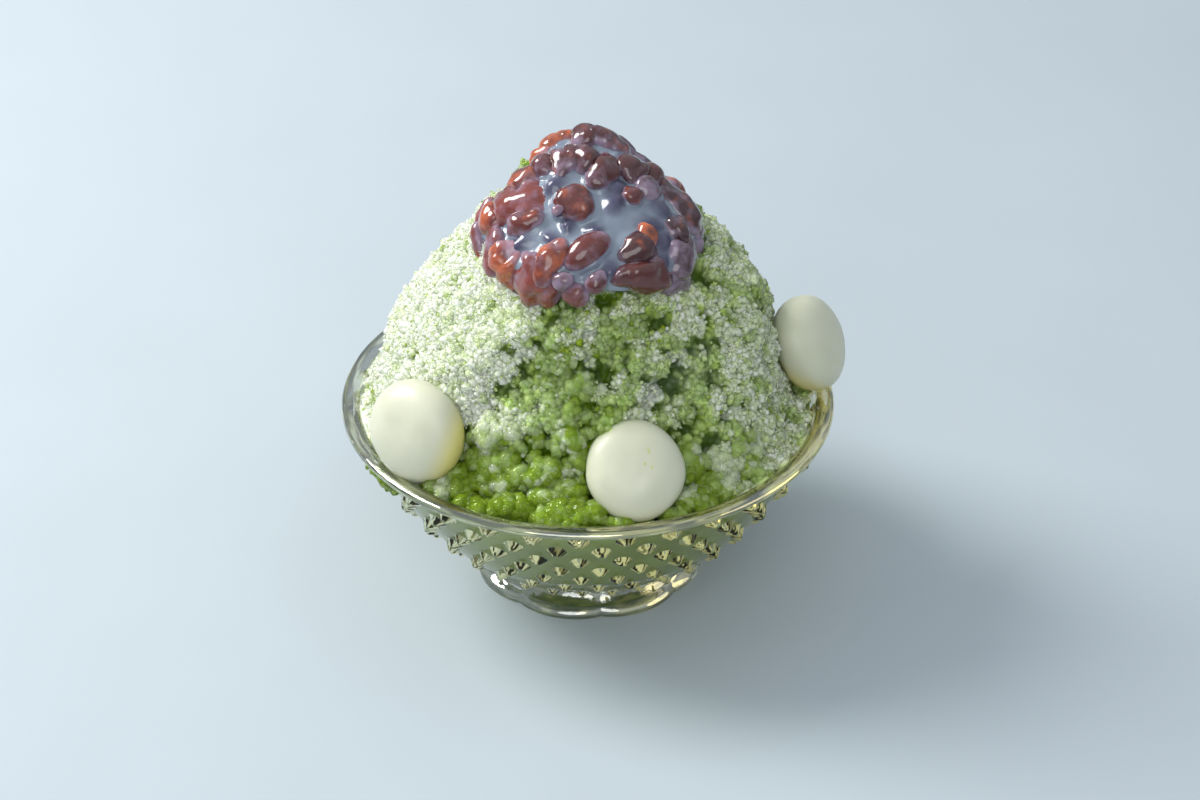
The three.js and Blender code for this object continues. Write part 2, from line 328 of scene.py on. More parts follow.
class Signal:
    """An output of a node. Arithmetic on it adds Math nodes to its material."""

    def __init__(self, finish, socket):
        self.finish = finish
        self.socket = socket

    def math(self, operation, *values):
        """A Math node on numbers and outputs."""
        return self.finish.node("ShaderNodeMath", {"operation": operation}, dict(enumerate(values)))

    def __add__(self, other):
        return self.math("ADD", self, other)

    def __sub__(self, other):
        return self.math("SUBTRACT", self, other)

    def __rsub__(self, other):
        return self.math("SUBTRACT", other, self)

    def __mul__(self, other):
        return self.math("MULTIPLY", self, other)

    __radd__ = __add__
    __rmul__ = __mul__

    def step(self, low, high):
        """Eases from 0 at low to 1 at high."""
        settings = {"interpolation_type": "SMOOTHSTEP"}
        return self.finish.node("ShaderNodeMapRange", settings, {0: self, 1: low, 2: high})


class Nodes:
    """The nodes of a material or of the world."""

    def __init__(self, tree):
        self.tree = tree

    def feed(self, node, values):
        """Gives a node's inputs their values, or links them."""
        for key, value in values.items():
            if isinstance(value, Signal):
                self.tree.links.new(value.socket, node.inputs[key])
            else:
                node.inputs[key].default_value = value

    def node(self, kind, settings, values, output=0):
        """Any node: its type, its settings, then its inputs. Gives one of its outputs."""
        made = self.tree.nodes.new(kind)
        for key, value in settings.items():
            setattr(made, key, value)
        self.feed(made, values)
        return Signal(self, made.outputs[output])

    def place(self):
        """Where a point is in its own object."""
        return self.node("ShaderNodeTexCoord", {}, {}, "Object")

    def attribute(self, name):
        """A number that the mesh holds for each point."""
        return self.node("ShaderNodeAttribute", {"attribute_name": name}, {}, "Fac")

    def noise(self, size):
        """Cloudy noise of a size in millimetres, from 0 to 1."""
        values = {"Vector": self.place(), "Scale": 1 / (size * MM), "Detail": NOISE_DETAIL}
        return self.node("ShaderNodeTexNoise", {}, values)

    def near(self, spot, reach):
        """1 at a spot, given in millimetres, easing to 0 at a reach from it."""
        values = {0: self.place(), 1: tuple(MM * part for part in spot)}
        distance = self.node("ShaderNodeVectorMath", {"operation": "DISTANCE"}, values, "Value")
        return 1 - distance.step(0.4 * reach * MM, reach * MM)

    def uneven(self, name, swing, size):
        """An attribute of the mesh, moved up and down by noise of a size."""
        return self.attribute(name) + swing * (self.noise(size) - 0.5)

    def mix(self, factor, low, high):
        """A colour between two, each an output or three numbers."""
        values = {MIX_FACTOR: factor, MIX_LOW: low, MIX_HIGH: high}
        for key in (MIX_LOW, MIX_HIGH):
            if not isinstance(values[key], Signal):
                values[key] = opaque(values[key])
        return self.node("ShaderNodeMix", {"data_type": "RGBA"}, values, MIX_RESULT)


class Finish(Nodes):
    """A material with one Principled shader, and the nodes that feed it."""

    def __init__(self, name, values):
        self.material = bpy.data.materials.new(name)
        self.material.use_nodes = True
        super().__init__(self.material.node_tree)
        self.shader = self.tree.nodes["Principled BSDF"]
        self.feed(self.shader, values)

    def bump(self, height, strength, depth):
        """Raises the surface by a height from 0 to 1 times a depth in millimetres."""
        values = {"Height": height, "Strength": strength, "Distance": depth * MM}
        self.feed(self.shader, {"Normal": self.node("ShaderNodeBump", {}, values)})

    def let_lamps_through(self, tint):
        """Lets the rays of the lamps pass as through a clear tinted film."""
        film = self.node("ShaderNodeBsdfTransparent", {}, {"Color": opaque(tint)})
        lamp_ray = self.node("ShaderNodeLightPath", {}, {}, "Is Shadow Ray")
        glass = Signal(self, self.shader.outputs["BSDF"])
        mixed = self.node("ShaderNodeMixShader", {}, {0: lamp_ray, 1: glass, 2: film})
        self.feed(self.tree.nodes["Material Output"], {"Surface": mixed})

    def give(self, piece):
        """Puts the material on a piece."""
        piece.data.materials.append(self.material)


# ---- Glass dish ------------------------------------------------------------------------

WALL_FOOT_HEIGHT = 9
WALL_FOOT_RADIUS = 27
WALL_TOP_HEIGHT = 47
WALL_TOP_RADIUS = 59.6
WALL_CURVE = 0.615
WALL_THICKNESS = 3.4
# How far the lip reaches in from the rim, and how far below its top it ends inside
LIP_WIDTH = 5
LIP_FALL = 1.45
# Radii and heights at which the floor of the bowl bends up into its wall
FLOOR_BEND = ((20, 14.9), (28, 16.5))
TOP_STUD_HEIGHT = 45
STUD_PITCH = 5
STUD_ROWS = 7
STUDS_AROUND = 32
STUD_TURN = math.radians(-80.7)
STUD_BLUNTNESS = 0.05
STUD_TIP = 0.16
STUD_FLUTES = 9
FLUTE_DEPTH = 0.07
STUDS_FROM = 10
FACETS_TO_FLUTE = 2.5
FOOT_RADIUS = 29.8
NECK_RADIUS = 24
FOOT_PETALS = 8
FOOT_TURN = math.radians(-83)
FOOT_PINCH = 1.7
FOOT_HOLLOW = 1.4
FOOT_TOP = 8.6
PETAL_ROUNDNESS = 0.7
# Rows and columns: the step along the section, the rounding of its bends, the heights that
# the finer columns span, and the distance between rows on each stretch
CHAIN_STEP = 0.1
CHAIN_ROUNDING = 0.7
FINE_FROM = 12.8
FINE_TO = 47.3
COARSE_COLUMNS = 208
FINE_COLUMNS = 832
UNDERSIDE_ROWS = 3
LIP_ROWS = 0.4
STUD_ROWS_APART = 0.5
OUTSIDE_ROWS = 0.6
INSIDE_ROWS = 2.2
RIM_RADIUS = DISH_TOP.x / MM
RIM_HEIGHT = DISH_TOP.z / MM


def bowl_radius(height):
    """Outside radius of the bowl between the studs: it grows as a power of the height."""
    part = np.clip((height - WALL_FOOT_HEIGHT) / (WALL_TOP_HEIGHT - WALL_FOOT_HEIGHT), 0, None)
    return WALL_FOOT_RADIUS + (WALL_TOP_RADIUS - WALL_FOOT_RADIUS) * part**WALL_CURVE


def inner_radius(height):
    """Inside radius of the bowl: the wall's thickness inside its outside, between straight
    lines to the floor below and out to the lip above."""
    heights = np.array([20, 26, 33, 40, 45])
    radii = bowl_radius(heights) - WALL_THICKNESS
    (low, low_height), (high, high_height) = FLOOR_BEND
    levels = [low_height, high_height, *heights, RIM_HEIGHT - LIP_FALL]
    return np.interp(height, levels, [low, high, *radii, RIM_RADIUS - LIP_WIDTH])


def rounded_chain(corners, step, rounding):
    """Points a step apart along straight lines through the corners, each averaged with its
    neighbours within the rounding, so that the corners turn into curves."""
    corners = np.array(corners, float)
    along = np.concatenate([[0], np.cumsum(np.linalg.norm(np.diff(corners, axis=0), axis=1))])
    fine = np.arange(0, along[-1], step)
    chain = np.stack([np.interp(fine, along, corners[:, axis]) for axis in (0, 1)], 1)
    reach = int(rounding / step)
    window = np.hanning(2 * reach + 1)
    window /= window.sum()
    padded = np.pad(chain, ((reach, reach), (0, 0)), mode="reflect", reflect_type="odd")
    return np.stack([np.convolve(padded[:, axis], window, "valid") for axis in (0, 1)], 1)


def dish_chain():
    """The dish's section as [radius, height] points: out along the hollow underside, up the
    flared foot, the bowl and the lip, and down the inside to the middle of its floor."""
    hollow = [(0, FOOT_HOLLOW), (21, FOOT_HOLLOW), (25.8, FOOT_HOLLOW - 0.4)]
    ring = [(27.5, 0.05), (28.6, 0.05), (29.6, 0.5), (FOOT_RADIUS, 1.4)]
    foot = [(29.2, 2.4), (27.4, 3.7), (25.9, 5.2), (24.9, 7)]
    joint = [(24.6, 8.2), (25.4, 8.9), (27.2, 9.2)]
    outside = [(bowl_radius(height), height) for height in np.linspace(STUDS_FROM, 46.7, 30)]
    # The lip: how far in from the rim, and the height
    lip = [(1.1, 47.4), (0.1, 48), (-0.02, 48.8), (0.5, 49.5), (1.7, 49.75), (3.6, 49.6), (4.6, 49.1)]
    lip = [(RIM_RADIUS - inwards, height) for inwards, height in lip]
    inside = [(inner_radius(height), height) for height in np.linspace(48.1, 20, 24)]
    floor = [*FLOOR_BEND[::-1], (0, 14.5)]
    return hollow + ring + foot + joint + outside + lip + inside + floor


def dish_section():
    """Rows of the section: radius, height, how level and how steep it runs, whether it still
    rises to the lip, and which of the three stretches it belongs to. Rows lie closer where
    the surface is finer."""
    chain = rounded_chain(dish_chain(), CHAIN_STEP, CHAIN_ROUNDING)
    radius, height = chain.T
    rising = np.arange(len(chain)) < np.argmax(height)
    studded = rising & (height > FINE_FROM) & (height < FINE_TO)
    underside = rising & (radius < 25) & (height < 2)
    lip = np.where(rising, height > 46, height > 47)
    spacing = np.select(
        [underside, lip, studded, rising],
        [UNDERSIDE_ROWS, LIP_ROWS, STUD_ROWS_APART, OUTSIDE_ROWS],
        INSIDE_ROWS,
    )
    count = np.concatenate([[0], np.cumsum(CHAIN_STEP / spacing)])[:-1]
    rows = np.interp(np.arange(0.3, count[-1], 1), count, np.arange(len(chain)))
    tangent = unit(np.gradient(chain, axis=0))
    stretch = np.select([studded, rising & (height < 30)], [1, 0], 2)
    columns = np.column_stack([chain, tangent, rising, stretch])
    return np.array([np.interp(rows, np.arange(len(chain)), values) for values in columns.T])


def foot_pinch(radius, height, angle):
    """How far the foot's outline draws in between its petals: less the closer a place is to
    the middle of a petal, by the sine of the turn, and nothing at the neck."""
    flare = np.clip((radius - NECK_RADIUS) / (FOOT_RADIUS - NECK_RADIUS), 0, 1)
    swell = np.abs(np.sin(FOOT_PETALS / 2 * (angle - FOOT_TURN))) ** PETAL_ROUNDNESS
    return FOOT_PINCH * (1 - swell) * flare * smooth((FOOT_TOP - height) / 1.5)


def rolled_streaks(radius, height, angle, rising):
    """How much a place belongs to the lip or the foot, and the brightness of its streaks of painted
    reflection:
    noise drawn out round the axis, painted brighter to the right, and painted darker on the foot."""
    lip = 0.58 * smooth((height - 46.6) / 0.7) * smooth((radius - RIM_RADIUS + 6.2) / 0.8)
    foot = 0.52 * smooth((8.8 - height) / 0.8) * smooth((radius - NECK_RADIUS) / 2) * rising
    spots = np.stack(np.broadcast_arrays(9 * angle, 1.5 * height, 1.5 * radius), -1)
    streak = 0.45 + waves(spots, (1.5, 1, 8)) - 0.25 * (foot > lip) + 0.18 * np.cos(angle)
    return np.maximum(lip, foot), np.clip(streak, 0, 1)


def dish_stretch(section, columns, stud_reach, stud_radius):
    """One stretch of the section turned round the axis, whether each place is on the side of
    a stud, on the lip or on the foot, and a number for its facet. Each stud is a blunt cone,
    raised along the wall's normal, that falls off with the distance from its middle and has
    flutes. The facets of a stud each have a number, and the lip and the foot have streaks."""
    radius, height, level, steep, rising, _ = section[:, :, None]
    angle = once_round(columns)

    row = np.clip(np.round((TOP_STUD_HEIGHT - height) / STUD_PITCH), 0, STUD_ROWS - 1)
    along = (height - TOP_STUD_HEIGHT + row * STUD_PITCH) / np.maximum(steep, 0.2)
    turn = (angle - STUD_TURN) * STUDS_AROUND / (2 * np.pi) - (row % 2) / 2
    across = (turn - np.round(turn)) * 2 * np.pi / STUDS_AROUND * radius
    size = radius / WALL_TOP_RADIUS
    distance = np.hypot(along, across) / (stud_radius * size)
    flute = STUD_FLUTES * np.arctan2(across, along)
    fluted = distance * (1 + FLUTE_DEPTH * np.cos(flute) * smooth(distance * 2))
    under_tip = (1 - np.hypot(fluted, STUD_TIP)) / STUD_BLUNTNESS
    blunt = STUD_BLUNTNESS * np.log1p(np.exp(under_tip))
    studded = (rising > 0.5) & (height > STUDS_FROM)
    stud = stud_reach * size * blunt * studded

    out = radius - foot_pinch(radius, height, angle) + stud * steep
    grid = turned(out, angle, height - stud * level)
    on_side = smooth((distance - 0.15) / 0.15) * smooth((1.04 - distance) / 0.15) * studded
    facet = np.round(flute / FACETS_TO_FLUTE)
    cell = np.stack(np.broadcast_arrays(facet, np.round(turn), row), -1).astype(np.int64)
    rolled, streak = rolled_streaks(radius, height, angle, rising)
    # The facet numbers and the streaks pick the painted reflections and glints of the glass.
    facets = np.where(rolled > on_side, streak, cell_number(cell, 5))
    return grid, np.maximum(on_side, rolled), facets


def dish_mesh(stud_reach, stud_radius):
    """Points, triangles and facets of the whole dish: the foot, the studded wall with four
    times as many columns, and the lip with the inside."""
    section = dish_section()
    stretches = [
        dish_stretch(section[:, np.round(section[5]) == part], columns, stud_reach, stud_radius)
        for part, columns in enumerate((COARSE_COLUMNS, FINE_COLUMNS, COARSE_COLUMNS))
    ]
    grids, sides, facets = zip(*stretches)
    ends = np.stack([grids[0][0].mean(0), grids[-1][-1].mean(0)])
    points = np.concatenate([*(grid.reshape(-1, 3) for grid in grids), ends])
    values = {
        key: np.concatenate([*(part.ravel() for part in parts), [0, 0]])
        for key, parts in {"side": sides, "facet": facets}.items()
    }
    return points, stacked_faces(grids), values


# ---- Shape of the heap -----------------------------------------------------------------

MOUND_BASE = 47
MOUND_PEAK = 118
MOUND_RADIUS = 56.6
PEAK_POWER = 1.3
BASE_POWER = 1.65
# Swellings: angle and height of the middle, how far it stands out, spread round and up
MOUND_SWELLS = ((0, 84, 3.4, 0.55, 9), (3.1, 73, 2.4, 0.5, 12), (-0.12, 57, -4, 0.4, 11))
HOLLOW_ANGLE = -1.4
HOLLOW_HEIGHT = 63
HOLLOW_DEPTH = 7.8
HOLLOW_RISE = 25
HOLLOW_LEDGE = 4
# Half widths of the hollow as turns: on the left at its base and above it, and on the right
HOLLOW_LEFT_BELOW = 1.45
HOLLOW_LEFT_ABOVE = 0.43
HOLLOW_RIGHT = 0.62
HOLLOW_NARROWING = 1.5


def height_part(height):
    """How far up the heap a height is, from 0 to 1."""
    return np.clip((height - MOUND_BASE) / (MOUND_PEAK - MOUND_BASE), 0, 1)


def mound_radius(height, angle):
    """Radius of the heap: a rounded cone, where a power of the radius and a power of the
    height add up to 1, swollen at both sides, less the hollow in front."""
    cone = MOUND_RADIUS * (1 - height_part(height) ** PEAK_POWER) ** (1 / BASE_POWER)
    for middle, level, reach, spread, rise in MOUND_SWELLS:
        cone = cone + reach * bell(turn_from(middle, angle), spread) * bell(height - level, rise)
    return cone - HOLLOW_DEPTH * hollow_depth(height, angle)


def hollow_depth(height, angle):
    """How deep the wide hollow in front is, from 0 to 1: flat bells round and up, above a
    ledge at the base. Its left edge slants outwards as it comes down."""
    turn = turn_from(HOLLOW_ANGLE, angle)
    narrowed = np.minimum(1, HOLLOW_NARROWING * height_part(height))
    left = HOLLOW_LEFT_BELOW + (HOLLOW_LEFT_ABOVE - HOLLOW_LEFT_BELOW) * narrowed
    across = flat_bell(turn, np.where(turn < 0, left, HOLLOW_RIGHT))
    ledge = 1 - np.exp(np.minimum(0, MOUND_BASE - height) / HOLLOW_LEDGE)
    return across * ledge * flat_bell(height - HOLLOW_HEIGHT, HOLLOW_RISE)


def mound_heights(rows):
    """Heights of rows that lie evenly along the slope of the plain cone behind."""
    fine = np.linspace(MOUND_BASE - 0.4, MOUND_PEAK - 0.02, 2000)
    radius = mound_radius(fine, np.pi / 2)
    along = np.concatenate([[0], np.cumsum(np.hypot(np.diff(fine), np.diff(radius)))])
    return np.interp(np.linspace(0, along[-1], rows), along, fine)


def mound_grid(rows, columns):
    """Places on the heap's outline, heights by angles, and their outward normals. At the
    bottom it spreads out to the glass."""
    angle = once_round(columns, -np.pi)
    height = mound_heights(rows)[:, None]
    radius = mound_radius(height, angle)
    spread = smooth((MOUND_BASE + 1.6 - height) / 1.8)
    radius = radius + spread * (inner_radius(height) + 0.2 - radius)
    grid = turned(radius, angle, height)
    return grid, grid_normals(grid)


# ---- Rice dumplings --------------------------------------------------------------------

# Place of the middle, the way the flat side faces, and the radius
DUMPLINGS = {
    "left": ((-42.3, -31.4, 59.0), (-0.587, -0.741, 0.31), 12.6),
    "front": ((11.5, -46.4, 56.8), (0.03, -0.75, 0.66), 12.4),
    "right": ((56.2, 5.4, 61.8), (0.807, -0.392, 0.443), 12.3),
}
# The way to the side of each that the syrup has stained
STAINED_SIDES = {
    "left": (0.93, -0.1, -0.35),
    "front": (0.1, 0.6, -0.79),
    "right": (-0.5, -0.2, -0.84),
}
DUMPLING_HALF = 7.4
DUMPLING_FULLNESS = 2.3
DUMPLING_RINGS = 72
DUMPLING_COLUMNS = 112
DUMPLING_SEED = 60
DIMPLE_DEPTH = 0.2
DIMPLE_RADIUS = 5
POLE_GAP = 0.02
# Green specks on each, across and up its face from the middle, and their reach
FLECKS = {
    "left": ((-3.7, -7.0, 1.1), (-4.6, -7.9, 0.7), (-7.2, -5.4, 0.5), (0.7, 0.5, 0.5)),
    "front": ((3.2, 5.0, 0.7), (3.4, 4.2, 0.5), (2.2, 1.4, 0.6), (4.0, 0.5, 0.5)),
    "right": ((-1.2, -5.6, 0.6), (-1.0, -7.6, 0.7), (-2.4, -7.8, 0.5)),
}


def facing_axes(faces):
    """Three unit vectors as rows: across, up the face, and the way it faces."""
    out = unit(np.array(faces, float))
    across = unit(np.cross((0, 0, 1), out))
    return np.stack([across, np.cross(out, across), out])


def dumpling_grid(radius, seed):
    """A ball pressed flat: powers of the distance from the axis over the radius and of the
    height over half the thickness add up to 1. A thumb's dimple sinks into both sides, and
    soft clouds of noise make it uneven. Its axis is Z."""
    way = ball_ways(DUMPLING_RINGS, DUMPLING_COLUMNS, POLE_GAP)
    wide = np.hypot(way[..., 0], way[..., 1]) / radius
    thick = np.abs(way[..., 2]) / DUMPLING_HALF
    reach = (wide**DUMPLING_FULLNESS + thick**DUMPLING_FULLNESS) ** (-1 / DUMPLING_FULLNESS)
    uneven = waves(way * reach[..., None], (2.0, 12, seed)) + waves(way * 9, (0.3, 5, seed + 1))
    point = way * (reach + uneven)[..., None]
    dimple = DIMPLE_DEPTH * bell(np.hypot(point[..., 0], point[..., 1]), DIMPLE_RADIUS)
    point[..., 2] -= dimple * np.sign(point[..., 2])
    return point


def push_back(points, dumpling, margin):
    """How far points have to move along the way a dumpling faces to lie behind it and a
    margin: down from its back where they are in its room or in front of it, and 0 elsewhere.
    Gives that and the way."""
    place, faces, radius = dumpling
    axes = facing_axes(faces)
    local = (points - place) @ axes.T
    level = np.hypot(local[..., 0], local[..., 1]) / (radius + margin)
    inside = np.clip(1 - level**DUMPLING_FULLNESS, 0, 1) ** (1 / DUMPLING_FULLNESS)
    back = -(DUMPLING_HALF + margin) * inside
    return np.where(level < 1, np.minimum(0, back - local[..., 2]), 0), axes[2]


def with_seats(points, margin):
    """Points of the ice, moved back where a dumpling and its margin take up their place."""
    for dumpling in DUMPLINGS.values():
        push, way = push_back(points, dumpling, margin)
        points = points + push[..., None] * way
    return points


def clear_of_dumplings(points, margin):
    """Whether each point lies outside the dumplings and the way in front of them."""
    pushes = [push_back(points, dumpling, margin)[0] for dumpling in DUMPLINGS.values()]
    return np.all(np.stack(pushes) == 0, axis=0)


# ---- Shaved ice ------------------------------------------------------------------------

CORE_DEPTH = 2.4
CORE_ROWS = 182
CORE_COLUMNS = 540
BOWL_COLUMNS = 180
INTO_GLASS = 0.25
SEAT_GAP = 0.3
# Zones of the ice as turns from the front: the middle and the spread of the wet ice and of
# the right side, and where the frosted left side begins and ends
WET_TURN, WET_SPREAD = -0.12, 0.85
RIGHT_TURN, RIGHT_SPREAD = 1.25, 0.75
LEFT_FROM, LEFT_TO = 0.3, 2.25
# The height up to which the ice is wet, and over how much it dries
WET_HEIGHT, WET_FADE = 50, 20
# Layers of noise: share, size and seed
FROST_PATCHES = ((0.55, 5.2, 11), (0.3, 2.6, 12), (0.15, 1.3, 13))
SYRUP_STAINS = ((0.6, 7, 15), (0.4, 3, 16))
# Lumps of the ice: their sizes, and the squared distance at which they cross the middle level
CLUMP_SIZE, LUMP_SIZE, GRANULE_SIZE = 7.5, 3.4, 1.75
LUMP_EDGE = 0.28
# Loose grains keep off the glass, and out of its thickness they need this height
GLASS_GAP = 0.6
ABOVE_GLASS = 51
# A little ice that ran over the rim on the left, and some that stands behind the topping
STRAY_ANGLE = -2.59
STRAY_COUNT = 100
NOTCH_ICE = (-14.4, 8, 110.0)
NOTCH_SPREAD = (1.3, 1.4, 1.0)
NOTCH_COUNT = 140


class IceFields:
    """What the ice is like at places on the heap's outline, each from 0 to 1. The wet ice is
    low in front, the frost lies thick on the left and in patches elsewhere, and the rough ice
    fills the hollow in front. Bells of the turn and noise are added up and clipped."""

    def __init__(self, points):
        angle = np.arctan2(points[..., 1], points[..., 0])
        turn = turn_from(-np.pi / 2, angle)
        height = points[..., 2]
        hollow = hollow_depth(height, angle)
        low = 1 - smooth((height - WET_HEIGHT) / WET_FADE)
        front = flat_bell(turn - WET_TURN, WET_SPREAD)
        right = flat_bell(turn - RIGHT_TURN, RIGHT_SPREAD)
        drift = waves(points, (0.5, 13, 14))
        self.wet = np.clip(front * low * 1.25 + drift * front, 0, 1)
        left = smooth((-turn - LEFT_FROM + 0.5 * drift) / 0.35) * smooth((LEFT_TO + turn + drift) / 0.6)
        self.left = left * (1 - 0.55 * hollow) * (1 - 0.6 * self.wet)
        reach = 0.47 + 0.25 * self.left + 0.1 * right - 0.17 * self.wet
        patches = smooth((layered(points, FROST_PATCHES) + reach - 0.92) / 0.16)
        self.frost = patches * (0.66 + 0.3 * self.left)
        self.rough = np.clip(hollow + 0.5 * front * low, 0.6 - 0.3 * self.left, 1)
        stains = 1.3 * (layered(points, SYRUP_STAINS) - 0.5)
        syrup = 0.34 + 0.6 * self.wet - 0.1 * right + 0.2 * self.left + stains
        self.soaked = np.clip(syrup, 0, 1)


def ice_relief(points, fields):
    """How far the ice stands out of its middle level: round lumps of three sizes, which fall
    with the square of the distance to points strewn one to a cube, and a step of its own
    for each small lump."""
    clumps, _ = pebbles(points, CLUMP_SIZE, 21)
    lumps, _ = pebbles(points, LUMP_SIZE, 22)
    granules, mark = pebbles(points, GRANULE_SIZE, 23)
    clump = (5.5 - 3.5 * fields.wet) * (LUMP_EDGE - clumps**2)
    lump = (3.6 + 2 * fields.wet) * (LUMP_EDGE - lumps**2)
    granule = 1.3 * (LUMP_EDGE - granules**2)
    return fields.rough * (clump + lump) + granule + 0.5 * (mark - 0.5) + 0.5 * fields.frost


def mound_core():
    """The heap under its loose grains: the outline moved inwards, less so next to the glass,
    raised in lumps, with room for the dumplings. Gives it with its fields, and how open to
    the light each place is, from 0 in the deepest crevices to 1."""
    outline, normals = mound_grid(CORE_ROWS, CORE_COLUMNS)
    fields = IceFields(outline)
    relief = ice_relief(outline, fields)
    depth = CORE_DEPTH * smooth((outline[..., 2] - MOUND_BASE) / 5)
    moved = outline + normals * (relief - depth)[..., None]
    return with_seats(moved, SEAT_GAP), fields, smooth(0.42 + relief / 2.6)


def bowl_fill():
    """The ice in the bowl, turned round the axis, which reaches just into the glass. Its first
    and its last ring draw in."""
    heights = np.concatenate([[14.62], np.linspace(15.5, 46.5, 24), [46.7]])[:, None]
    radius = inner_radius(heights) + INTO_GLASS
    radius[0] = 14
    radius[-1] = inner_radius(46.5) - 3
    return turned(radius, once_round(BOWL_COLUMNS, -np.pi), heights)


def lump_shape(rings, columns):
    """Points and triangles of a small round lump of radius 1, each ring a half step round
    from the one below."""
    polar = np.pi * (np.arange(rings) + 1) / (rings + 1)
    twist = np.arange(rings)[:, None] * np.pi / columns
    grid = turned(np.sin(polar)[::-1, None], once_round(columns) + twist, np.cos(polar)[::-1, None])
    points = closed_points(grid)
    points[-2:] = [(0, 0, -1), (0, 0, 1)]
    return points, closed_faces(rings, columns)


def random_turns(rng, count):
    """Evenly spread rotation matrices, from random unit quaternions."""
    w, x, y, z = unit(rng.normal(size=(count, 4))).T
    return np.stack(
        [
            np.stack([1 - 2 * (y * y + z * z), 2 * (x * y - z * w), 2 * (x * z + y * w)], -1),
            np.stack([2 * (x * y + z * w), 1 - 2 * (x * x + z * z), 2 * (y * z - x * w)], -1),
            np.stack([2 * (x * z - y * w), 2 * (y * z + x * w), 1 - 2 * (x * x + y * y)], -1),
        ],
        -2,
    )


def strewn(rng, centres, radii, grain):
    """One lump at each centre, turned at random and squeezed differently on each axis,
    with its corners moved in and out. Gives all points and triangles, and how many points
    each has."""
    shape, faces = lump_shape(grain.rings, grain.columns)
    count = len(centres)
    squeeze = rng.uniform(0.72, 1.28, (count, 1, 3))
    rough = 1 + grain.uneven * rng.uniform(-1, 1, (count, len(shape), 1))
    local = shape[None] * squeeze * rough * radii[:, None, None]
    points, faces = copies(local, random_turns(rng, count), centres, faces)
    return points, faces, len(shape)


# A kind of loose grains: the ice that they lie on, how many, smallest and largest radius,
# rings, columns, how uneven, how high they are piled, the share of frosted nuggets, and how
# clear they are
Grain = collections.namedtuple(
    "Grain", "ice count smallest largest rings columns uneven pile nuggets clear", defaults=(0, 0.0)
)
GRAINS = {
    "syrup_granules": Grain("wet", 3900, 0.7, 2.0, 3, 7, 0.16, 1.2, 0.14, 0.04),
    "sage_granules": Grain("bare", 9900, 0.45, 1.3, 2, 5, 0.24, 0.75, 0.2, 0.25),
    "frost_grains": Grain("frost", 9900, 0.42, 1.05, 2, 5, 0.3, 1.0),
    "left_frost": Grain("left", 9900, 0.3, 0.62, 2, 5, 0.3, 1.0),
    "frost_crumbs": Grain("frost", 9900, 0.22, 0.42, 2, 5, 0.3, 1.3),
}
STRAY_GRAIN = Grain("wet", STRAY_COUNT + NOTCH_COUNT, 0.5, 1.1, 3, 6, 0.14, 0, 0, 0.04)


def grain_places(rng, core, fields, openness, grain):
    """Places on the heap's core, as many to an area as the grain likes the ice there and more
    of them where it is open, moved outwards by up to the pile. Gives them with how soaked and
    how frosty the ice is there."""
    normals = grid_normals(core)
    right, up = np.roll(core, -1, axis=1) - core, np.roll(core, -1, axis=0) - core
    area = np.linalg.norm(np.cross(right, up), axis=-1)
    likes = {
        "wet": fields.wet**1.3 * (1 - 0.5 * fields.frost) * openness,
        "bare": (1 - 0.8 * fields.frost) * (1 - 0.6 * fields.wet) * openness,
        "frost": fields.frost**2 * (1 - 0.75 * fields.left),
        "left": fields.left * (0.25 + fields.frost),
    }
    chance = area * likes[grain.ice] * (0.12 + openness) * clear_of_dumplings(core, GLASS_GAP)
    glass = inner_radius(np.minimum(core[..., 2], 48)) - GLASS_GAP
    within = np.hypot(core[..., 0], core[..., 1]) < glass
    chance = chance * (within | (core[..., 2] > ABOVE_GLASS))
    chance[-1] = 0
    cell = rng.choice(area.size, grain.count, p=(chance / chance.sum()).ravel())
    row, column = np.divmod(cell, area.shape[1])
    a, b = rng.random((2, grain.count, 1))
    point = core[row, column] + a * right[row, column] + b * up[row, column]
    point = point + normals[row, column] * (grain.pile * rng.random((grain.count, 1)) ** 1.5)
    return point, fields.soaked[row, column], fields.frost[row, column]


def stray_places(rng, count):
    """Places on the outside of the wall under the rim, on the left, where a little ice has
    run over: most at a middle angle, and hanging down unevenly."""
    angle = STRAY_ANGLE + 0.055 * rng.normal(size=count)
    drop = rng.random(count) ** 1.3 * (6.5 - 45 * np.abs(angle - STRAY_ANGLE))
    height = 46.2 - np.clip(drop, 0, None)
    return turned(bowl_radius(height) + rng.uniform(0.3, 1.8, count), angle, height)


def ice_finish(name, settings, values, clear=0.0):
    """Wet shaved ice: pale to syrup green by the soaking, towards white by the frost, and
    deep green painted shade in the crevices. Clear grains are paler, as light crosses many of them."""
    finish = Finish(name, values)
    soaking = finish.uneven("soaked", 0.35, 2.2).step(0.1, 0.9)
    green = finish.mix(soaking, settings.pale_colour, settings.syrup_colour)
    # Painted shade: darker greens where the ice is less open to the light, in the crevices.
    deep = finish.mix(soaking, settings.crevice_colour, settings.painted_syrup_shade_colour)
    green = finish.mix(finish.attribute("open"), deep, green)
    green = finish.mix(clear, green, WHITE)
    frost = finish.uneven("frost", 0.5, 0.9).step(0.2, 0.9)
    finish.feed(finish.shader, {"Base Color": finish.mix(frost, green, settings.frost_colour)})
    return finish


# ---- Beans and milk --------------------------------------------------------------------

TOPPING_CENTRE = np.array([0.8, -6.5, 103.0])
TOPPING_WIDTH = 28.4
TOPPING_RISE = 22.7
TOPPING_DROP = 19
TOPPING_PEAKED = 1.5
TOPPING_ROUND = 2.3
LEAN_BACK = 0.28
# The camera looks down by this angle, and its view plane has these axes
VIEW_ELEVATION = 0.571735
VIEW_BACK = np.array([0, -math.cos(VIEW_ELEVATION), math.sin(VIEW_ELEVATION)])
VIEW_UP = np.array([0, math.sin(VIEW_ELEVATION), math.cos(VIEW_ELEVATION)])
VIEW_RIGHT = np.array([1.0, 0, 0])
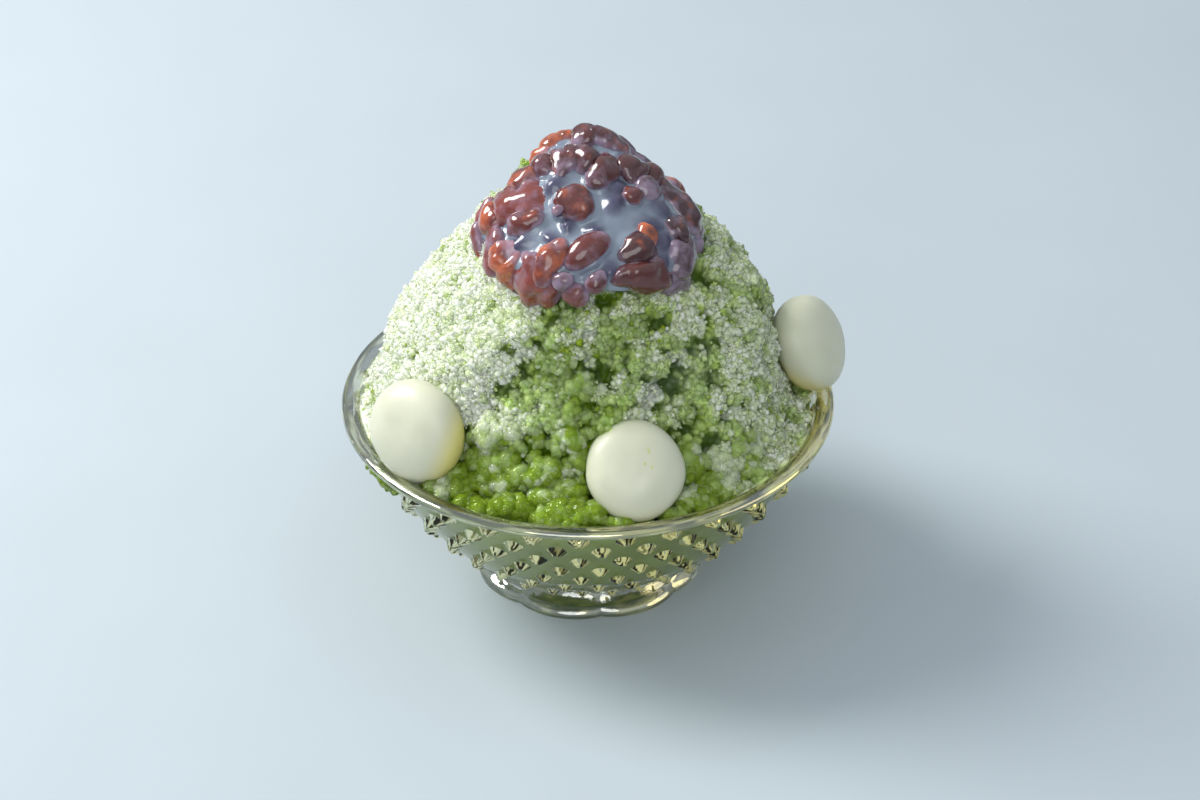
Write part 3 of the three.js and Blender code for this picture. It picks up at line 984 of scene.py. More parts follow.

# Beans that show in front: across and up from the topping's middle in the view plane,
# turn of the long axis in degrees, length, width, film of milk, and amber, a painted glow of
# light shining through, from 0 to 1
FRONT_BEANS = (
    (-0.8, -6.4, 38, 13.0, 7.6, 0.25, 0.0),
    (-18.3, 6.4, 60, 13.6, 11.2, 0.3, 0.0),
    (-17.2, 11.6, 5, 8.4, 5.4, 0.2, 0.6),
    (-16.6, 0.8, 15, 9.4, 5.6, 0.25, 0.3),
    (-3.9, 5.7, -25, 10.8, 8.4, 0.15, 0.4),
    (-7.8, 3.2, 10, 3.4, 2.8, 0.6, 0.0),
    (-7.0, 16.4, 60, 9.6, 7.6, 0.35, 0.3),
    (-2.6, 17.4, -50, 9.6, 6.8, 0.25, 0.25),
    (-13.8, 18.9, 80, 6.8, 4.8, 0.0, 1.0),
    (-8.9, 21.9, 10, 7.8, 5.0, 0.0, 0.8),
    (-2.0, 23.2, 5, 6.4, 5.2, 0.15, 0.3),
    (-12.5, 15.1, 50, 6.4, 5.6, 0.35, 0.15),
    (5.2, 21.8, -32, 10.8, 5.0, 0.25, 0.35),
    (2.9, 13.6, 78, 10.8, 6.4, 0.2, 0.1),
    (10.6, 15.2, -65, 9.0, 6.4, 0.2, 0.1),
    (15.6, 13.2, -60, 6.6, 4.0, 0.1, 0.1),
    (14.6, 9.6, -40, 7.4, 5.8, 0.55, 0.05),
    (22.6, 6.2, -48, 15.0, 6.2, 0.2, 0.35),
    (10.5, 7.6, 0, 5.0, 4.2, 0.15, 0.4),
    (21.8, -0.7, 20, 6.8, 5.8, 0.3, 0.2),
    (12.1, -6.4, 35, 10.0, 8.4, 0.15, 0.15),
    (13.8, -2.8, 75, 6.6, 4.8, 0.05, 0.8),
    (23.9, -8.2, 78, 11.0, 6.4, 0.45, 0.05),
    (14.0, -14.2, -18, 14.0, 7.6, 0.0, 0.05),
    (21.6, -15.0, 50, 7.8, 6.6, 0.6, 0.0),
    (-24.2, -6.4, 82, 10.6, 4.8, 0.35, 0.05),
    (-22.1, -11.2, 66, 10.0, 6.0, 0.15, 0.75),
    (-14.6, -15.8, -60, 11.4, 9.6, 0.3, 0.3),
    (-10.3, -9.0, 66, 12.4, 6.8, 0.2, 0.6),
    (1.4, -14.4, 60, 5.8, 5.2, 0.3, 0.1),
    (-7.2, -14.6, 10, 6.0, 5.0, 0.6, 0.0),
    (-3.8, -18.3, 30, 5.6, 4.6, 0.35, 0.15),
    (-25.6, 2.2, -50, 6.6, 5.6, 0.05, 0.7),
)
# Lumps that the milk covers, in the same terms
SUNKEN_BEANS = (
    (6.6, 9.6, 70, 8.0, 6.0),
    (6.0, 5.8, 60, 8.0, 6.0),
    (17.6, 4.6, -30, 9.0, 6.5),
    (15.4, 0.4, 10, 9.0, 6.5),
    (18.0, -3.6, 60, 8.0, 6.0),
    (-18.0, -4.0, 20, 9.0, 5.5),
    (-9.0, 10.0, 40, 8.0, 5.5),
    (17.6, -8.6, 60, 8.0, 6.0),
    (4.6, -10.6, 60, 6.0, 4.5),
    (-5.6, 0.6, 80, 6.0, 4.2),
    (0.8, -1.0, 20, 6.0, 3.8),
    (-9.6, -3.0, -30, 6.5, 4.0),
)
# Where the outline draws in, above on the right and on the left, by what share and how wide
TOPPING_DENTS = (
    (VIEW_RIGHT * 0.72 + VIEW_UP * 0.62, 0.14, 0.55),
    (VIEW_RIGHT * -0.74 + VIEW_UP * 0.65 - VIEW_BACK * 0.14, 0.24, 0.34),
)


def topping_reach(way):
    """How far the topping reaches from its middle: powers of its distance from the axis and
    of its height add up to 1, cone-like above and rounder below. It draws in at its dents."""
    above = way[..., 2] > 0
    power = np.where(above, TOPPING_PEAKED, TOPPING_ROUND)
    tall = np.where(above, TOPPING_RISE, TOPPING_DROP)
    wide = np.hypot(way[..., 0], way[..., 1]) / TOPPING_WIDTH
    dent = 0
    for middle, depth, spread in TOPPING_DENTS:
        dent = dent + depth * bell(np.linalg.norm(way - middle, axis=-1), spread)
    return (1 - dent) * (wide**power + (np.abs(way[..., 2]) / tall) ** power) ** (-1 / power)


def leaned(points, lean):
    """Points above the topping's middle, moved back by a lean times their height."""
    moved = points.copy()
    moved[..., 1] += lean * np.maximum(0, points[..., 2])
    return moved


def topping_point(way, sink):
    """The place on the topping that lies a way from its middle, sunk by a depth."""
    return TOPPING_CENTRE + leaned(way * (topping_reach(way) - sink)[..., None], LEAN_BACK)


def outward(way):
    """Unit normals of the topping, from the slope of its reach on two small steps."""
    any_way = (0.3, 0.5, 0.81)
    side = unit(np.cross(way, any_way))
    other = np.cross(way, side)
    step = 0.02
    edges = [
        topping_point(unit(way + step * axis), 0) - topping_point(unit(way - step * axis), 0)
        for axis in (side, other)
    ]
    normal = unit(np.cross(edges[0], edges[1]))
    return normal * np.sign((normal * way).sum(-1, keepdims=True))


def seen_way(across, up):
    """The way from the topping's middle to the outermost place that shows at a spot of the
    view plane, found by halving the stretch of the line of sight that it lies in."""
    farthest, halvings = 60.0, 40
    base = across[:, None] * VIEW_RIGHT + up[:, None] * VIEW_UP
    low = np.zeros(len(across))
    high = np.full(len(across), farthest)
    for _ in range(halvings):
        middle = (low + high) / 2
        point = leaned(base + middle[:, None] * VIEW_BACK, -LEAN_BACK)
        inside = np.linalg.norm(point, axis=1) < topping_reach(unit(point))
        low, high = np.where(inside, middle, low), np.where(inside, high, middle)
    return unit(leaned(base + low[:, None] * VIEW_BACK, -LEAN_BACK))


class Beans:
    """Places, axes, sizes and finish of all beans, one row for each."""

    def __init__(self, rng):
        front = np.array(FRONT_BEANS)
        sunken = np.array(SUNKEN_BEANS)
        self.way = seen_way(front[:, 0], front[:, 1])
        self.spin = np.radians(front[:, 2])
        facing = np.clip(outward(self.way) @ VIEW_BACK, 0.65, 1)
        self.half_length = front[:, 3] / 2 / np.sqrt(facing)
        self.half_width = front[:, 4] / 2 / facing
        self.film = front[:, 5]
        self.amber = front[:, 6]
        sunken_way = seen_way(sunken[:, 0], sunken[:, 1])
        self.sunken = Patch(sunken_way, np.radians(sunken[:, 2]), sunken[:, 3] / 2, sunken[:, 4] / 2)
        self.add_behind(rng)

    def add_behind(self, rng):
        """Adds beans by the golden angle wherever the placed ones leave the topping bare at
        the sides and behind."""
        count = 180
        index = np.arange(count)
        level = 1 - 1.62 * (index + 0.5) / count
        turn = index * np.pi * (3 - math.sqrt(5))
        way = turned(np.sqrt(1 - level**2), turn, level)
        way = unit(way + rng.normal(0, 0.05, way.shape))
        hidden = outward(way) @ VIEW_BACK < -0.08
        apart = np.arccos(np.clip(way @ self.way.T, -1, 1)).min(1) > 0.2
        notch, _, reach = TOPPING_DENTS[1]
        apart &= np.linalg.norm(way - notch, axis=1) > 1.7 * reach
        way = way[hidden & apart]
        extra = len(way)
        added = {
            "way": way,
            "spin": rng.uniform(0, np.pi, extra),
            "half_length": rng.uniform(4.4, 6.1, extra),
            "half_width": rng.uniform(2.8, 3.7, extra),
            "film": rng.uniform(0, 0.5, extra),
            "amber": rng.uniform(0, 1, extra) ** 2,
        }
        for name, values in added.items():
            setattr(self, name, np.concatenate([getattr(self, name), values]))

    def patch(self):
        """The places of all beans as patches on the topping."""
        return Patch(self.way, self.spin, self.half_length, self.half_width)


class Patch:
    """Oval patches on the topping: a middle, two axes in the surface and the normal."""

    def __init__(self, way, spin, half_length, half_width):
        self.normal = outward(way)
        self.middle = topping_point(way, 0)
        side = np.cos(spin)[:, None] * VIEW_RIGHT + np.sin(spin)[:, None] * VIEW_UP
        side = side - (side * self.normal).sum(1, keepdims=True) * self.normal
        self.long = unit(side)
        self.short = np.cross(self.normal, self.long)
        self.half_length = half_length
        self.half_width = half_width


BEAN_RINGS = 24
BEAN_COLUMNS = 24
BEAN_POLE_GAP = 0.06
PLAIN_BEANS = 1
BEAN_FLATNESS = 0.88
BEAN_PROUD = 1.3
MILK_SINK = 2.9
MILK_RINGS = 190
MILK_COLUMNS = 320


def bean_points(beans, rng):
    """Kidney-shaped bodies: ellipsoids bent along their length and narrower at one end,
    softly crumpled and creased, all but the first, which is nearly a plain ellipsoid. Gives
    points, triangles and the values for the skin."""
    patch = beans.patch()
    count = len(patch.middle)
    uneven = np.where(np.arange(count) < PLAIN_BEANS, 0.15, 1.0)[:, None]
    ball = np.roll(ball_ways(BEAN_RINGS, BEAN_COLUMNS, BEAN_POLE_GAP), 1, axis=-1)
    shape = closed_points(ball)
    faces = closed_faces(BEAN_RINGS, BEAN_COLUMNS)[:, ::-1]
    thickness = BEAN_FLATNESS * patch.half_width
    size = np.stack([patch.half_length, patch.half_width, thickness], -1)
    local = shape[None] * size[:, None, :]
    along = local[..., 0] / patch.half_length[:, None]
    taper = uneven * rng.uniform(-0.22, 0.22, (count, 1)) * along
    local[..., 1:] *= (1 + taper)[..., None]
    bend = uneven * rng.uniform(-0.35, 0.35, (count, 1))
    local[..., 1] += bend * patch.half_width[:, None] * (along**2 - 0.4)
    apart = local + 40 * np.arange(count)[:, None, None]
    crumple = waves(apart, (0.42, 3.8, 41), (0.14, 1.7, 42))
    across_crease = unit(rng.normal(size=(count, 1, 3)))
    crease = (local * across_crease).sum(-1) - rng.uniform(-1.2, 1.2, (count, 1))
    local = local * (1 + uneven * (crumple - 0.1 * bell(crease, 0.7)))[..., None]
    axes = np.stack([patch.long, patch.short, patch.normal], 1)
    centres = patch.middle - patch.normal * (thickness - BEAN_PROUD)[:, None]
    points, faces = copies(local, axes, centres, faces)
    sunken = 1 - local[..., 2] / thickness[:, None]
    edge = 0.5 * smooth((sunken - 0.4) / 0.5)
    # Each bean's tone is random, and painted shade makes the beans darker towards the right.
    tone = np.clip(0.37 + rng.uniform(-0.35, 0.35, count) - patch.middle[:, 0] / 45, 0, 1)
    values = {
        "film": (beans.film[:, None] + edge).ravel(),
        "amber": np.repeat(beans.amber, len(shape)),
        "tone": np.repeat(tone, len(shape)),
    }
    return points, faces, values


def milk_surface(beans):
    """The milk that fills the gaps: the topping sunk by a depth, climbing where a bean stands
    out of it and swelling over the beans that it covers. It ends unevenly below. Gives its
    grid, and how thin it lies over the beans, from 0 to 1."""
    way = ball_ways(MILK_RINGS, MILK_COLUMNS, POLE_GAP)
    base = topping_point(way, MILK_SINK)
    climb = np.zeros(base.shape[:2])
    thin = np.zeros(base.shape[:2])
    # Patches, how high the milk rises there, how far out from the middle, and the spread
    for patch, swell, hug, spread in ((beans.patch(), 1.5, 0.8, 0.34), (beans.sunken, 2.2, 0, 0.85)):
        rows = zip(patch.middle, patch.long, patch.short, patch.half_length, patch.half_width)
        for middle, long, short, half_length, half_width in rows:
            from_middle = base - middle
            oval = np.hypot(from_middle @ long / half_length, from_middle @ short / half_width)
            around_it = flat_bell(np.linalg.norm(from_middle, axis=-1), 9)
            near = bell(np.maximum(0, oval - hug), spread) * around_it
            climb = np.maximum(climb, swell * near)
            thin = np.maximum(thin, bell(oval, 1.15) * around_it)
    ripple = waves(base, (1.7, 7, 51), (0.8, 3.5, 52))
    lower = smooth((-way[..., 2] - 0.17 + waves(base, (0.3, 9, 53))) / 0.16)
    return topping_point(way, MILK_SINK - ripple - climb + 4.5 * lower), thin


# ---- Settings --------------------------------------------------------------------------


class DishSettings(bpy.types.PropertyGroup):
    """Sizes and colour of the glass dish, and the colours of the painted reflections and glints on its
    studs, lip and foot.
    """

    stud_reach: length("Stud reach", "How far a stud of the widest row stands out", 2.7 * MM)
    stud_radius: length("Stud radius", "Radius of a stud's round base in the widest row", 2.75 * MM)
    colour: colour("Glass", "Tint of the glass", (0.95, 0.985, 0.93))
    pale_colour: colour("Pale glass", "Tint of the glass in its paler clouds", (0.97, 0.99, 0.96))
    # The next four colours are painted reflections laid on metallic facets: golden and silver glints, olive
    # for the ice, and dark for the dark that the facets would mirror.
    painted_gold_glint_colour: colour("Golden facets", "Stud facets that mirror warm light", paint(238, 226, 150))
    painted_silver_glint_colour: colour("Silver facets", "Stud facets that mirror cool light", paint(220, 224, 194))
    painted_olive_reflection_colour: colour("Olive facets", "Stud facets that mirror the ice", paint(138, 132, 80))
    dark_colour: colour("Dark facets", "Stud facets that mirror the dark", paint(52, 50, 40))
    shade_colour: colour("Shade", "Light that the glass lets through", (0.82, 0.86, 0.8))


class IceSettings(bpy.types.PropertyGroup):
    """Colours of the shaved ice, with the painted shade in its crevices, and the seed of its grains."""

    syrup_colour: colour("Syrup", "Ice that is soaked with syrup", paint(162, 186, 12))
    pale_colour: colour("Pale ice", "Ice with a little syrup", paint(217, 234, 160))
    # The next two colours are painted shade in the crevices of the ice.
    painted_syrup_shade_colour: colour("Syrup in crevices", "Soaked ice deep between the grains", paint(82, 108, 2))
    crevice_colour: colour("Crevices", "Pale ice deep between the grains", paint(62, 84, 36))
    frost_colour: colour("Frost", "Dry white ice", paint(249, 250, 243))
    glass_side_colour: colour("Against glass", "Ice that shows through the glass", paint(152, 169, 92))
    seed: IntProperty(name="Seed", description="Starts the random places of the grains", default=5)


class ToppingSettings(bpy.types.PropertyGroup):
    """Colours of the beans and the milk."""

    bean_colour: colour("Bean", "Skin of a cooked bean", paint(126, 58, 48))
    dark_colour: colour("Dark bean", "Skin of a darker bean", paint(64, 34, 38))
    amber_colour: colour("Amber", "Bean where light shines through", paint(188, 100, 62))
    film_colour: colour("Film", "Milk that clings to a bean", paint(158, 140, 162))
    milk_colour: colour("Milk", "Condensed milk in the gaps", paint(140, 151, 165))
    thin_colour: colour("Thin milk", "Milk that a bean darkens from below", paint(76, 74, 98))
    seed: IntProperty(name="Seed", description="Starts the random places of the beans", default=3)


class DumplingSettings(bpy.types.PropertyGroup):
    """Colours of the rice dumplings."""

    dough_colour: colour("Dough", "Boiled rice dough", paint(213, 213, 190))
    stain_colour: colour("Stain", "Dough next to the syrup", paint(222, 210, 128))
    fleck_colour: colour("Flecks", "Specks of green tea powder", paint(186, 200, 80))


class StageSettings(bpy.types.PropertyGroup):
    """Floor, light and camera."""

    floor_colour: colour("Floor", "Pale matt floor", paint(181, 190, 196))
    wall_colour: colour("Walls", "Light that comes from the side", paint(162, 170, 176))
    ceiling_colour: colour("Ceiling", "Light that comes from above", paint(222, 232, 240))
    room_strength: FloatProperty(name="Room", description="Strength of the light all round", default=0.8)
    lens: FloatProperty(name="Lens", description="Focal length of the camera in millimetres", default=120)
    distance: length("Distance", "From the camera to the point that it looks at", 1.0163)
    key_power: watts("Key light", "Power of the window light", 12.0)
    fill_power: watts("Fill light", "Power of the fill light", 3)
    warm_power: watts("Warm light", "Power of the warm light", 1.5)


# ---- Operators -------------------------------------------------------------------------


GLASS_IOR = 1.5
ICE_IOR = 1.31


class MakeDish(bpy.types.Operator):
    """Make the studded glass dish"""

    bl_idname = "shaved_ice.dish"
    bl_label = "Glass dish"

    def execute(self, context):
        settings = context.scene.ice_dish
        points, faces, facets = dish_mesh(settings.stud_reach / MM, settings.stud_radius / MM)
        dish = mesh_piece("pressed_glass_dish", points, faces, "glass_dish", facets)
        values = {
            "Roughness": 0.015,
            "IOR": GLASS_IOR,
            "Transmission Weight": 1.0,
            "Emission Strength": 0.1,
        }
        finish = Finish("pressed_glass", values)
        ripple = finish.noise(6.0)
        facet = finish.attribute("facet")
        # Painted reflections: each facet's number picks a dark, olive, silver or golden colour, golden on
        # the right half, which the metallic facets show.
        bright = facet.step(0.21, 0.31)
        across = finish.node("ShaderNodeSeparateXYZ", {}, {0: finish.place()}, "X")
        lit = finish.mix(across.step(-0.05, 0.02), settings.painted_silver_glint_colour, settings.painted_gold_glint_colour)
        lit = finish.mix(facet.step(0.3, 0.6), settings.painted_olive_reflection_colour, lit)
        shade = finish.mix(bright, settings.dark_colour, lit)
        mirror = finish.attribute("side").step(0.35, 0.75) * (1 - 0.75 * facet.step(0.8, 0.86))
        clear = finish.mix(ripple, settings.colour, settings.pale_colour)
        values = {
            "Base Color": finish.mix(mirror, clear, shade),
            "Metallic": 0.85 * mirror,
            # Painted glow: the bright facets also glow in their lit colour.
            "Emission Color": finish.mix(mirror * bright, BLACK, lit),
        }
        finish.feed(finish.shader, values)
        finish.bump(ripple, 0.3, 0.15)
        finish.let_lamps_through(settings.shade_colour)
        finish.give(dish)
        return {"FINISHED"}


class MakeIce(bpy.types.Operator):
    """Make the heap of shaved ice"""

    bl_idname = "shaved_ice.ice"
    bl_label = "Shaved ice"

    def execute(self, context):
        settings = context.scene.ice_heap
        core, fields, openness = mound_core()
        mound = grid_piece(
            "ice_core",
            core,
            "ice_heap",
            "green_ice",
            soaked=fields.soaked,
            frost=0.8 * fields.frost,
            # Painted shade: the wet ice takes more of the darker crevice colour.
            open=openness * (1 - 0.65 * fields.wet),
        )
        shine = {
            "Roughness": 0.3,
            "IOR": ICE_IOR,
            "Subsurface Weight": 0.6,
            "Subsurface Radius": (1.0, 1.0, 0.8),
            "Subsurface Scale": 1.6 * MM,
        }
        ice_finish("packed_ice", settings, shine).give(mound)
        wet = grid_piece("ice_in_bowl", bowl_fill(), "ice_heap", "green_ice")
        finish = Finish("ice_against_glass", {**shine, "Roughness": 0.15})
        clouds = finish.noise(9.0).step(0.3, 0.7)
        shade = dimmed(settings.glass_side_colour, 0.8)
        finish.feed(finish.shader, {"Base Color": finish.mix(clouds, shade, settings.glass_side_colour)})
        finish.give(wet)
        return {"FINISHED"}


class MakeGrains(bpy.types.Operator):
    """Strew the loose grains of ice"""

    bl_idname = "shaved_ice.grains"
    bl_label = "Loose grains"

    def execute(self, context):
        settings = context.scene.ice_heap
        rng = np.random.default_rng(settings.seed)
        core, fields, openness = mound_core()
        for name, grain in GRAINS.items():
            places, soaked, frost = grain_places(rng, core, fields, openness, grain)
            height = places[:, 2]
            if grain.ice == "wet":
                soaked = soaked * (1.05 - 0.4 * smooth((height - 48) / 6))
            nugget = rng.random(grain.count) < grain.nuggets
            frosted = rng.uniform(0.4, 0.8, grain.count)
            frost = np.where(nugget & (height > ABOVE_GLASS), frosted, frost)
            if grain.ice == "left":
                frost = frost - 0.5 * rng.random(grain.count) ** 3
            self.strew(rng, settings, name, grain, places, soaked, frost)
        self.strew_strays(rng, settings)
        return {"FINISHED"}

    def strew_strays(self, rng, settings):
        """Makes the ice that ran over the rim, and the little that stands behind the topping."""
        places = stray_places(rng, STRAY_COUNT)
        peak = np.array(NOTCH_ICE) + rng.normal(0, NOTCH_SPREAD, (NOTCH_COUNT, 3))
        soaked = [rng.uniform(0.5, 1, STRAY_COUNT), rng.uniform(0, 0.45, NOTCH_COUNT)]
        frost = np.repeat([0, 0.45], [STRAY_COUNT, NOTCH_COUNT])
        places, soaked = np.concatenate([places, peak]), np.concatenate(soaked)
        self.strew(rng, settings, "stray_ice", STRAY_GRAIN, places, soaked, frost)

    def strew(self, rng, settings, name, grain, places, soaked, frost):
        """Makes one piece of all grains of a kind."""
        radii = grain.smallest + (grain.largest - grain.smallest) * rng.random(grain.count) ** 1.6
        points, faces, each = strewn(rng, places, radii, grain)
        values = {
            "soaked": np.repeat(np.clip(soaked + rng.normal(0, 0.3, grain.count), 0, 1), each),
            "frost": np.repeat(np.clip(frost + rng.normal(0, 0.12, grain.count), 0, 1), each),
            "open": np.ones(len(points)),
        }
        icy = grain.ice in ("wet", "bare")
        piece = mesh_piece(name, points, faces, "ice_heap", values, flat=not icy)
        shine = {
            "Roughness": 0.06 if icy else 0.15,
            "IOR": ICE_IOR,
            "Transmission Weight": 0.75 if icy else 0.4,
        }
        finish = ice_finish(name + "_ice", settings, shine, grain.clear)
        finish.let_lamps_through((0.68, 0.78, 0.4) if icy else (0.7, 0.74, 0.66))
        finish.give(piece)


class MakeBeans(bpy.types.Operator):
    """Make the red beans and the condensed milk"""

    bl_idname = "shaved_ice.beans"
    bl_label = "Beans and milk"

    def execute(self, context):
        settings = context.scene.ice_topping
        rng = np.random.default_rng(settings.seed)
        beans = Beans(rng)
        points, faces, values = bean_points(beans, rng)
        skins = mesh_piece("sweet_red_beans", points, faces, "red_beans", values)
        grid, thin = milk_surface(beans)
        milk = grid_piece("condensed_milk", grid, "red_beans", "beans_and_milk", thin=thin)
        self.finish_beans(settings, skins)
        self.finish_milk(settings, milk)
        return {"FINISHED"}

    def finish_beans(self, settings, skins):
        """Dark to red skins, amber where light shines through, under a patchy film of milk."""
        values = {
            "Roughness": 0.14,
            "IOR": 1.45,
            "Coat Weight": 0.6,
            "Coat Roughness": 0.05,
            "Subsurface Weight": 0.5,
            "Subsurface Radius": (1.0, 0.4, 0.25),
            "Subsurface Scale": 1.8 * MM,
        }
        finish = Finish("bean_skin", values)
        amber = finish.uneven("amber", 1.6, 3.6).step(0.3, 1.1)
        film = finish.uneven("film", 1.3, 3.0).step(0.15, 0.85)
        # Dark to red by each bean's tone and by the painted shade on the right.
        skin = finish.mix(finish.attribute("tone"), settings.dark_colour, settings.bean_colour)
        skin = finish.mix(amber, skin, settings.amber_colour)
        skin = finish.mix(film * 0.75, skin, settings.film_colour)
        finish.feed(finish.shader, {"Base Color": skin})
        finish.bump(finish.noise(1.1), 0.2, 0.15)
        finish.give(skins)

    def finish_milk(self, settings, milk):
        """Glossy milk, darker where it lies thin over a bean."""
        values = {
            "Roughness": 0.16,
            "IOR": 1.45,
            "Coat Weight": 0.35,
            "Coat Roughness": 0.06,
            "Subsurface Weight": 0.5,
            "Subsurface Radius": (1.0, 1.0, 1.2),
            "Subsurface Scale": 2.0 * MM,
        }
        finish = Finish("condensed_milk", values)
        thin = finish.uneven("thin", 0.5, 4.0).step(0.2, 1.0)
        milky = finish.mix(thin, settings.milk_colour, settings.thin_colour)
        finish.feed(finish.shader, {"Base Color": milky})
        finish.bump(finish.noise(2.5), 0.2, 0.2)
        finish.give(milk)


class MakeDumplings(bpy.types.Operator):
    """Make the three rice dumplings"""

    bl_idname = "shaved_ice.dumplings"
    bl_label = "Rice dumplings"

    def execute(self, context):
        finish = self.dough_finish(context.scene.ice_dumplings)
        for seed, (side, (place, faces, radius)) in enumerate(DUMPLINGS.items()):
            grid = dumpling_grid(radius, DUMPLING_SEED + seed) @ facing_axes(faces) + place
            points, triangles = closed_points(grid), closed_faces(*grid.shape[:2])
            towards = (points - place) @ unit(np.array(STAINED_SIDES[side])) / radius
            values = {"stain": smooth((towards - 0.3) / 0.6)}
            name = "rice_dumpling_" + side
            finish.give(mesh_piece(name, points, triangles, "dumpling_" + side, values))
        return {"FINISHED"}

    def dough_finish(self, settings):
        """Soft white dough with faint clouds, a stain on one side and specks of green."""
        values = {
            "Roughness": 0.38,
            "IOR": 1.42,
            "Coat Weight": 0.12,
            "Coat Roughness": 0.12,
            "Subsurface Weight": 0.7,
            "Subsurface Radius": (1.0, 1.0, 0.8),
            "Subsurface Scale": 3.0 * MM,
        }
        finish = Finish("rice_dough", values)
        deep = dimmed(settings.dough_colour, 0.88)
        dough = finish.mix(finish.noise(7.0), settings.dough_colour, deep)
        dough = finish.mix(finish.attribute("stain"), dough, settings.stain_colour)
        fleck = 0
        for side, (place, faces, _) in DUMPLINGS.items():
            for across, up, reach in FLECKS[side]:
                spot = np.array([across, up, DUMPLING_HALF - 0.8]) @ facing_axes(faces) + place
                fleck = fleck + finish.near(spot, reach)
        fleck = fleck * finish.noise(0.5).step(0.4, 0.55)
        dough = finish.mix(0.7 * fleck, dough, settings.fleck_colour)
        finish.feed(finish.shader, {"Base Color": dough})
        finish.bump(finish.noise(1.2), 0.12, 0.15)
        return finish


FLOOR_HALF = 12.0
# Where the lights and the camera look
LIGHT_TARGET = np.array([0, 0, 0.06])
CAMERA_TARGET = np.array([3.1, 0, 48.14]) * MM
SENSOR_WIDTH = 36
# Lights: place, width and colour
LIGHTS = {
    "window_light": ((-0.71, 0.26, 0.74), 0.55, (1, 0.99, 0.97)),
    "fill_light": ((-0.1, -0.85, 0.6), 0.7, WHITE),
    "warm_light": ((0.62, -0.12, 0.2), 0.5, (1, 0.86, 0.5)),
}


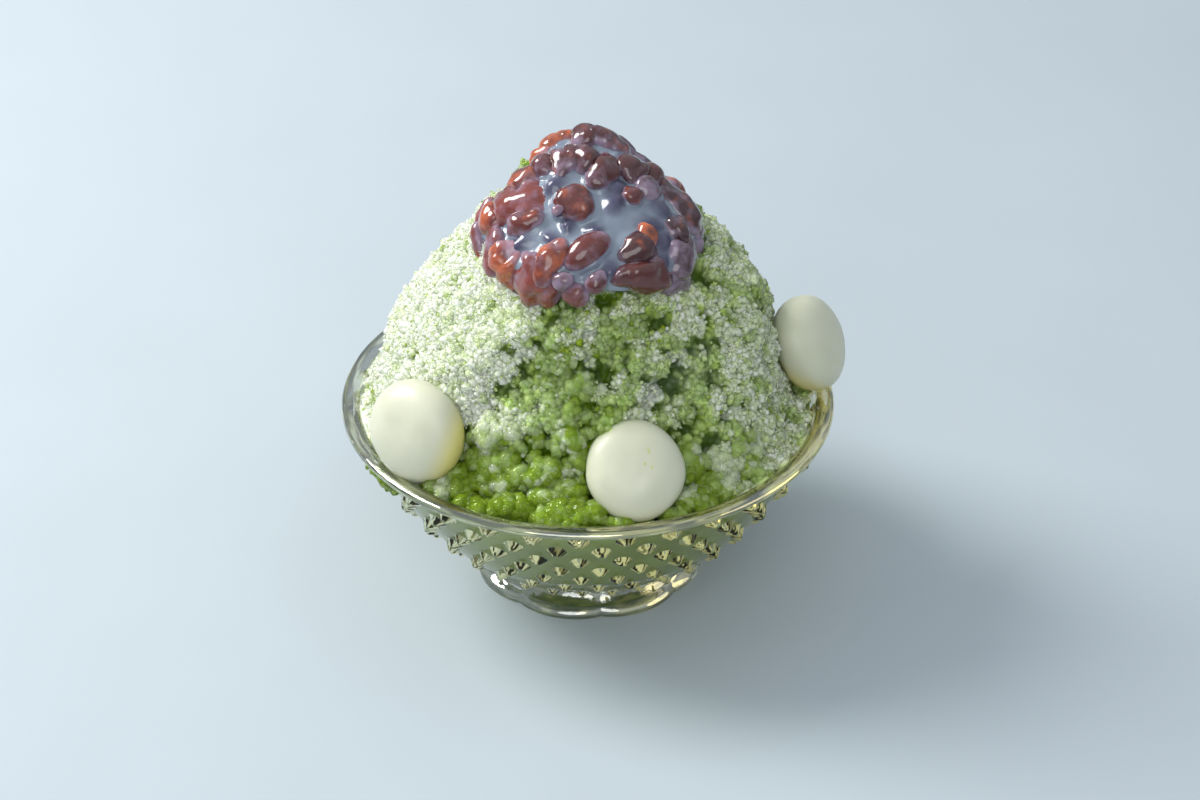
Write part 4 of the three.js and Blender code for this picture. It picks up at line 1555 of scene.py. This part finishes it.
class MakeStage(bpy.types.Operator):
    """Set the floor, the lights and the camera"""

    bl_idname = "shaved_ice.stage"
    bl_label = "Floor, light and camera"

    def execute(self, context):
        settings = context.scene.ice_stage
        scene = context.scene
        self.make_floor(scene, settings)
        self.make_light(scene, "window_light", settings.key_power)
        self.make_light(scene, "fill_light", settings.fill_power)
        warm = self.make_light(scene, "warm_light", settings.warm_power)
        warm.visible_diffuse = False
        glass = bpy.data.collections.new("warmly_lit")
        glass.objects.link(bpy.data.objects["pressed_glass_dish"])
        warm.light_linking.receiver_collection = glass
        self.make_room(scene, settings)
        self.make_camera(scene, settings)
        return {"FINISHED"}

    def make_floor(self, scene, settings):
        """A wide flat floor, pale, matt and faintly cloudy."""
        mesh = bpy.data.meshes.new("floor")
        corners = [(x * FLOOR_HALF, y * FLOOR_HALF, 0) for x, y in ((-1, -1), (1, -1), (1, 1), (-1, 1))]
        mesh.from_pydata(corners, [], [(0, 1, 2, 3)])
        floor = bpy.data.objects.new("floor", mesh)
        scene.collection.objects.link(floor)
        finish = Finish("pale_floor", {"Roughness": 1.0, "Specular IOR Level": 0.0})
        deep = dimmed(settings.floor_colour, 0.94)
        clouds = finish.mix(finish.noise(60), settings.floor_colour, deep)
        finish.feed(finish.shader, {"Base Color": clouds})
        finish.give(floor)

    def make_light(self, scene, name, power):
        """A round soft light that looks at the dish and that the camera doesn't see."""
        place, size, tint = LIGHTS[name]
        light = bpy.data.lights.new(name, "AREA")
        light.shape = "DISK"
        light.size = size
        light.energy = power
        light.color = tint
        lamp = bpy.data.objects.new(name, light)
        lamp.visible_camera = False
        lamp.location = place
        way = LIGHT_TARGET - place
        flat = math.hypot(way[0], way[1])
        lamp.rotation_euler = (math.atan2(flat, -way[2]), 0, math.atan2(-way[0], way[1]))
        scene.collection.objects.link(lamp)
        return lamp

    def make_room(self, scene, settings):
        """Light from all round, from the walls' colour at the level to the ceiling's above."""
        world = bpy.data.worlds.new("studio")
        world.use_nodes = True
        room = Nodes(world.node_tree)
        way = room.node("ShaderNodeTexCoord", {}, {}, "Generated")
        height = room.node("ShaderNodeSeparateXYZ", {}, {0: way}, "Z")
        light = room.mix(height.step(0.0, 0.6), settings.wall_colour, settings.ceiling_colour)
        room.feed(world.node_tree.nodes["Background"], {"Color": light, "Strength": settings.room_strength})
        scene.world = world
        scene.view_settings.view_transform = "Standard"

    def make_camera(self, scene, settings):
        """The camera in front, above the level by the view plane's angle."""
        camera = bpy.data.objects.new("camera", bpy.data.cameras.new("camera"))
        camera.data.lens = settings.lens
        camera.data.sensor_width = SENSOR_WIDTH
        camera.data.clip_start = 0.05
        camera.location = CAMERA_TARGET + VIEW_BACK * settings.distance
        camera.rotation_euler = (math.pi / 2 - VIEW_ELEVATION, 0, 0)
        scene.collection.objects.link(camera)
        scene.camera = camera


class ShavedIcePanel(bpy.types.Panel):
    """Lists the steps and their settings"""

    bl_idname = "VIEW3D_PT_shaved_ice"
    bl_label = "Shaved ice"
    bl_space_type = "VIEW_3D"
    bl_region_type = "UI"
    bl_category = "Shaved ice"

    def draw(self, context):
        """A button for each step, then a box with the settings of each group."""
        for operator in OPERATORS:
            self.layout.operator(operator.bl_idname)
        for name in SETTINGS:
            group = getattr(context.scene, name)
            box = self.layout.box()
            for key in group.__annotations__:
                box.prop(group, key)


SETTINGS = {
    "ice_dish": DishSettings,
    "ice_heap": IceSettings,
    "ice_topping": ToppingSettings,
    "ice_dumplings": DumplingSettings,
    "ice_stage": StageSettings,
}
OPERATORS = (MakeDish, MakeIce, MakeGrains, MakeBeans, MakeDumplings, MakeStage)
CLASSES = (*SETTINGS.values(), *OPERATORS, ShavedIcePanel)


def register():
    """Adds the classes, and one group of settings for each part to the scene."""
    for made in CLASSES:
        bpy.utils.register_class(made)
    for name, group in SETTINGS.items():
        setattr(bpy.types.Scene, name, PointerProperty(type=group))


def unregister():
    """Takes away what register adds."""
    for name in SETTINGS:
        delattr(bpy.types.Scene, name)
    for made in reversed(CLASSES):
        bpy.utils.unregister_class(made)


def main():
    """Builds everything."""
    register()
    for operator in OPERATORS:
        group, name = operator.bl_idname.split(".")
        getattr(getattr(bpy.ops, group), name)()


if __name__ == "__main__":
    main()
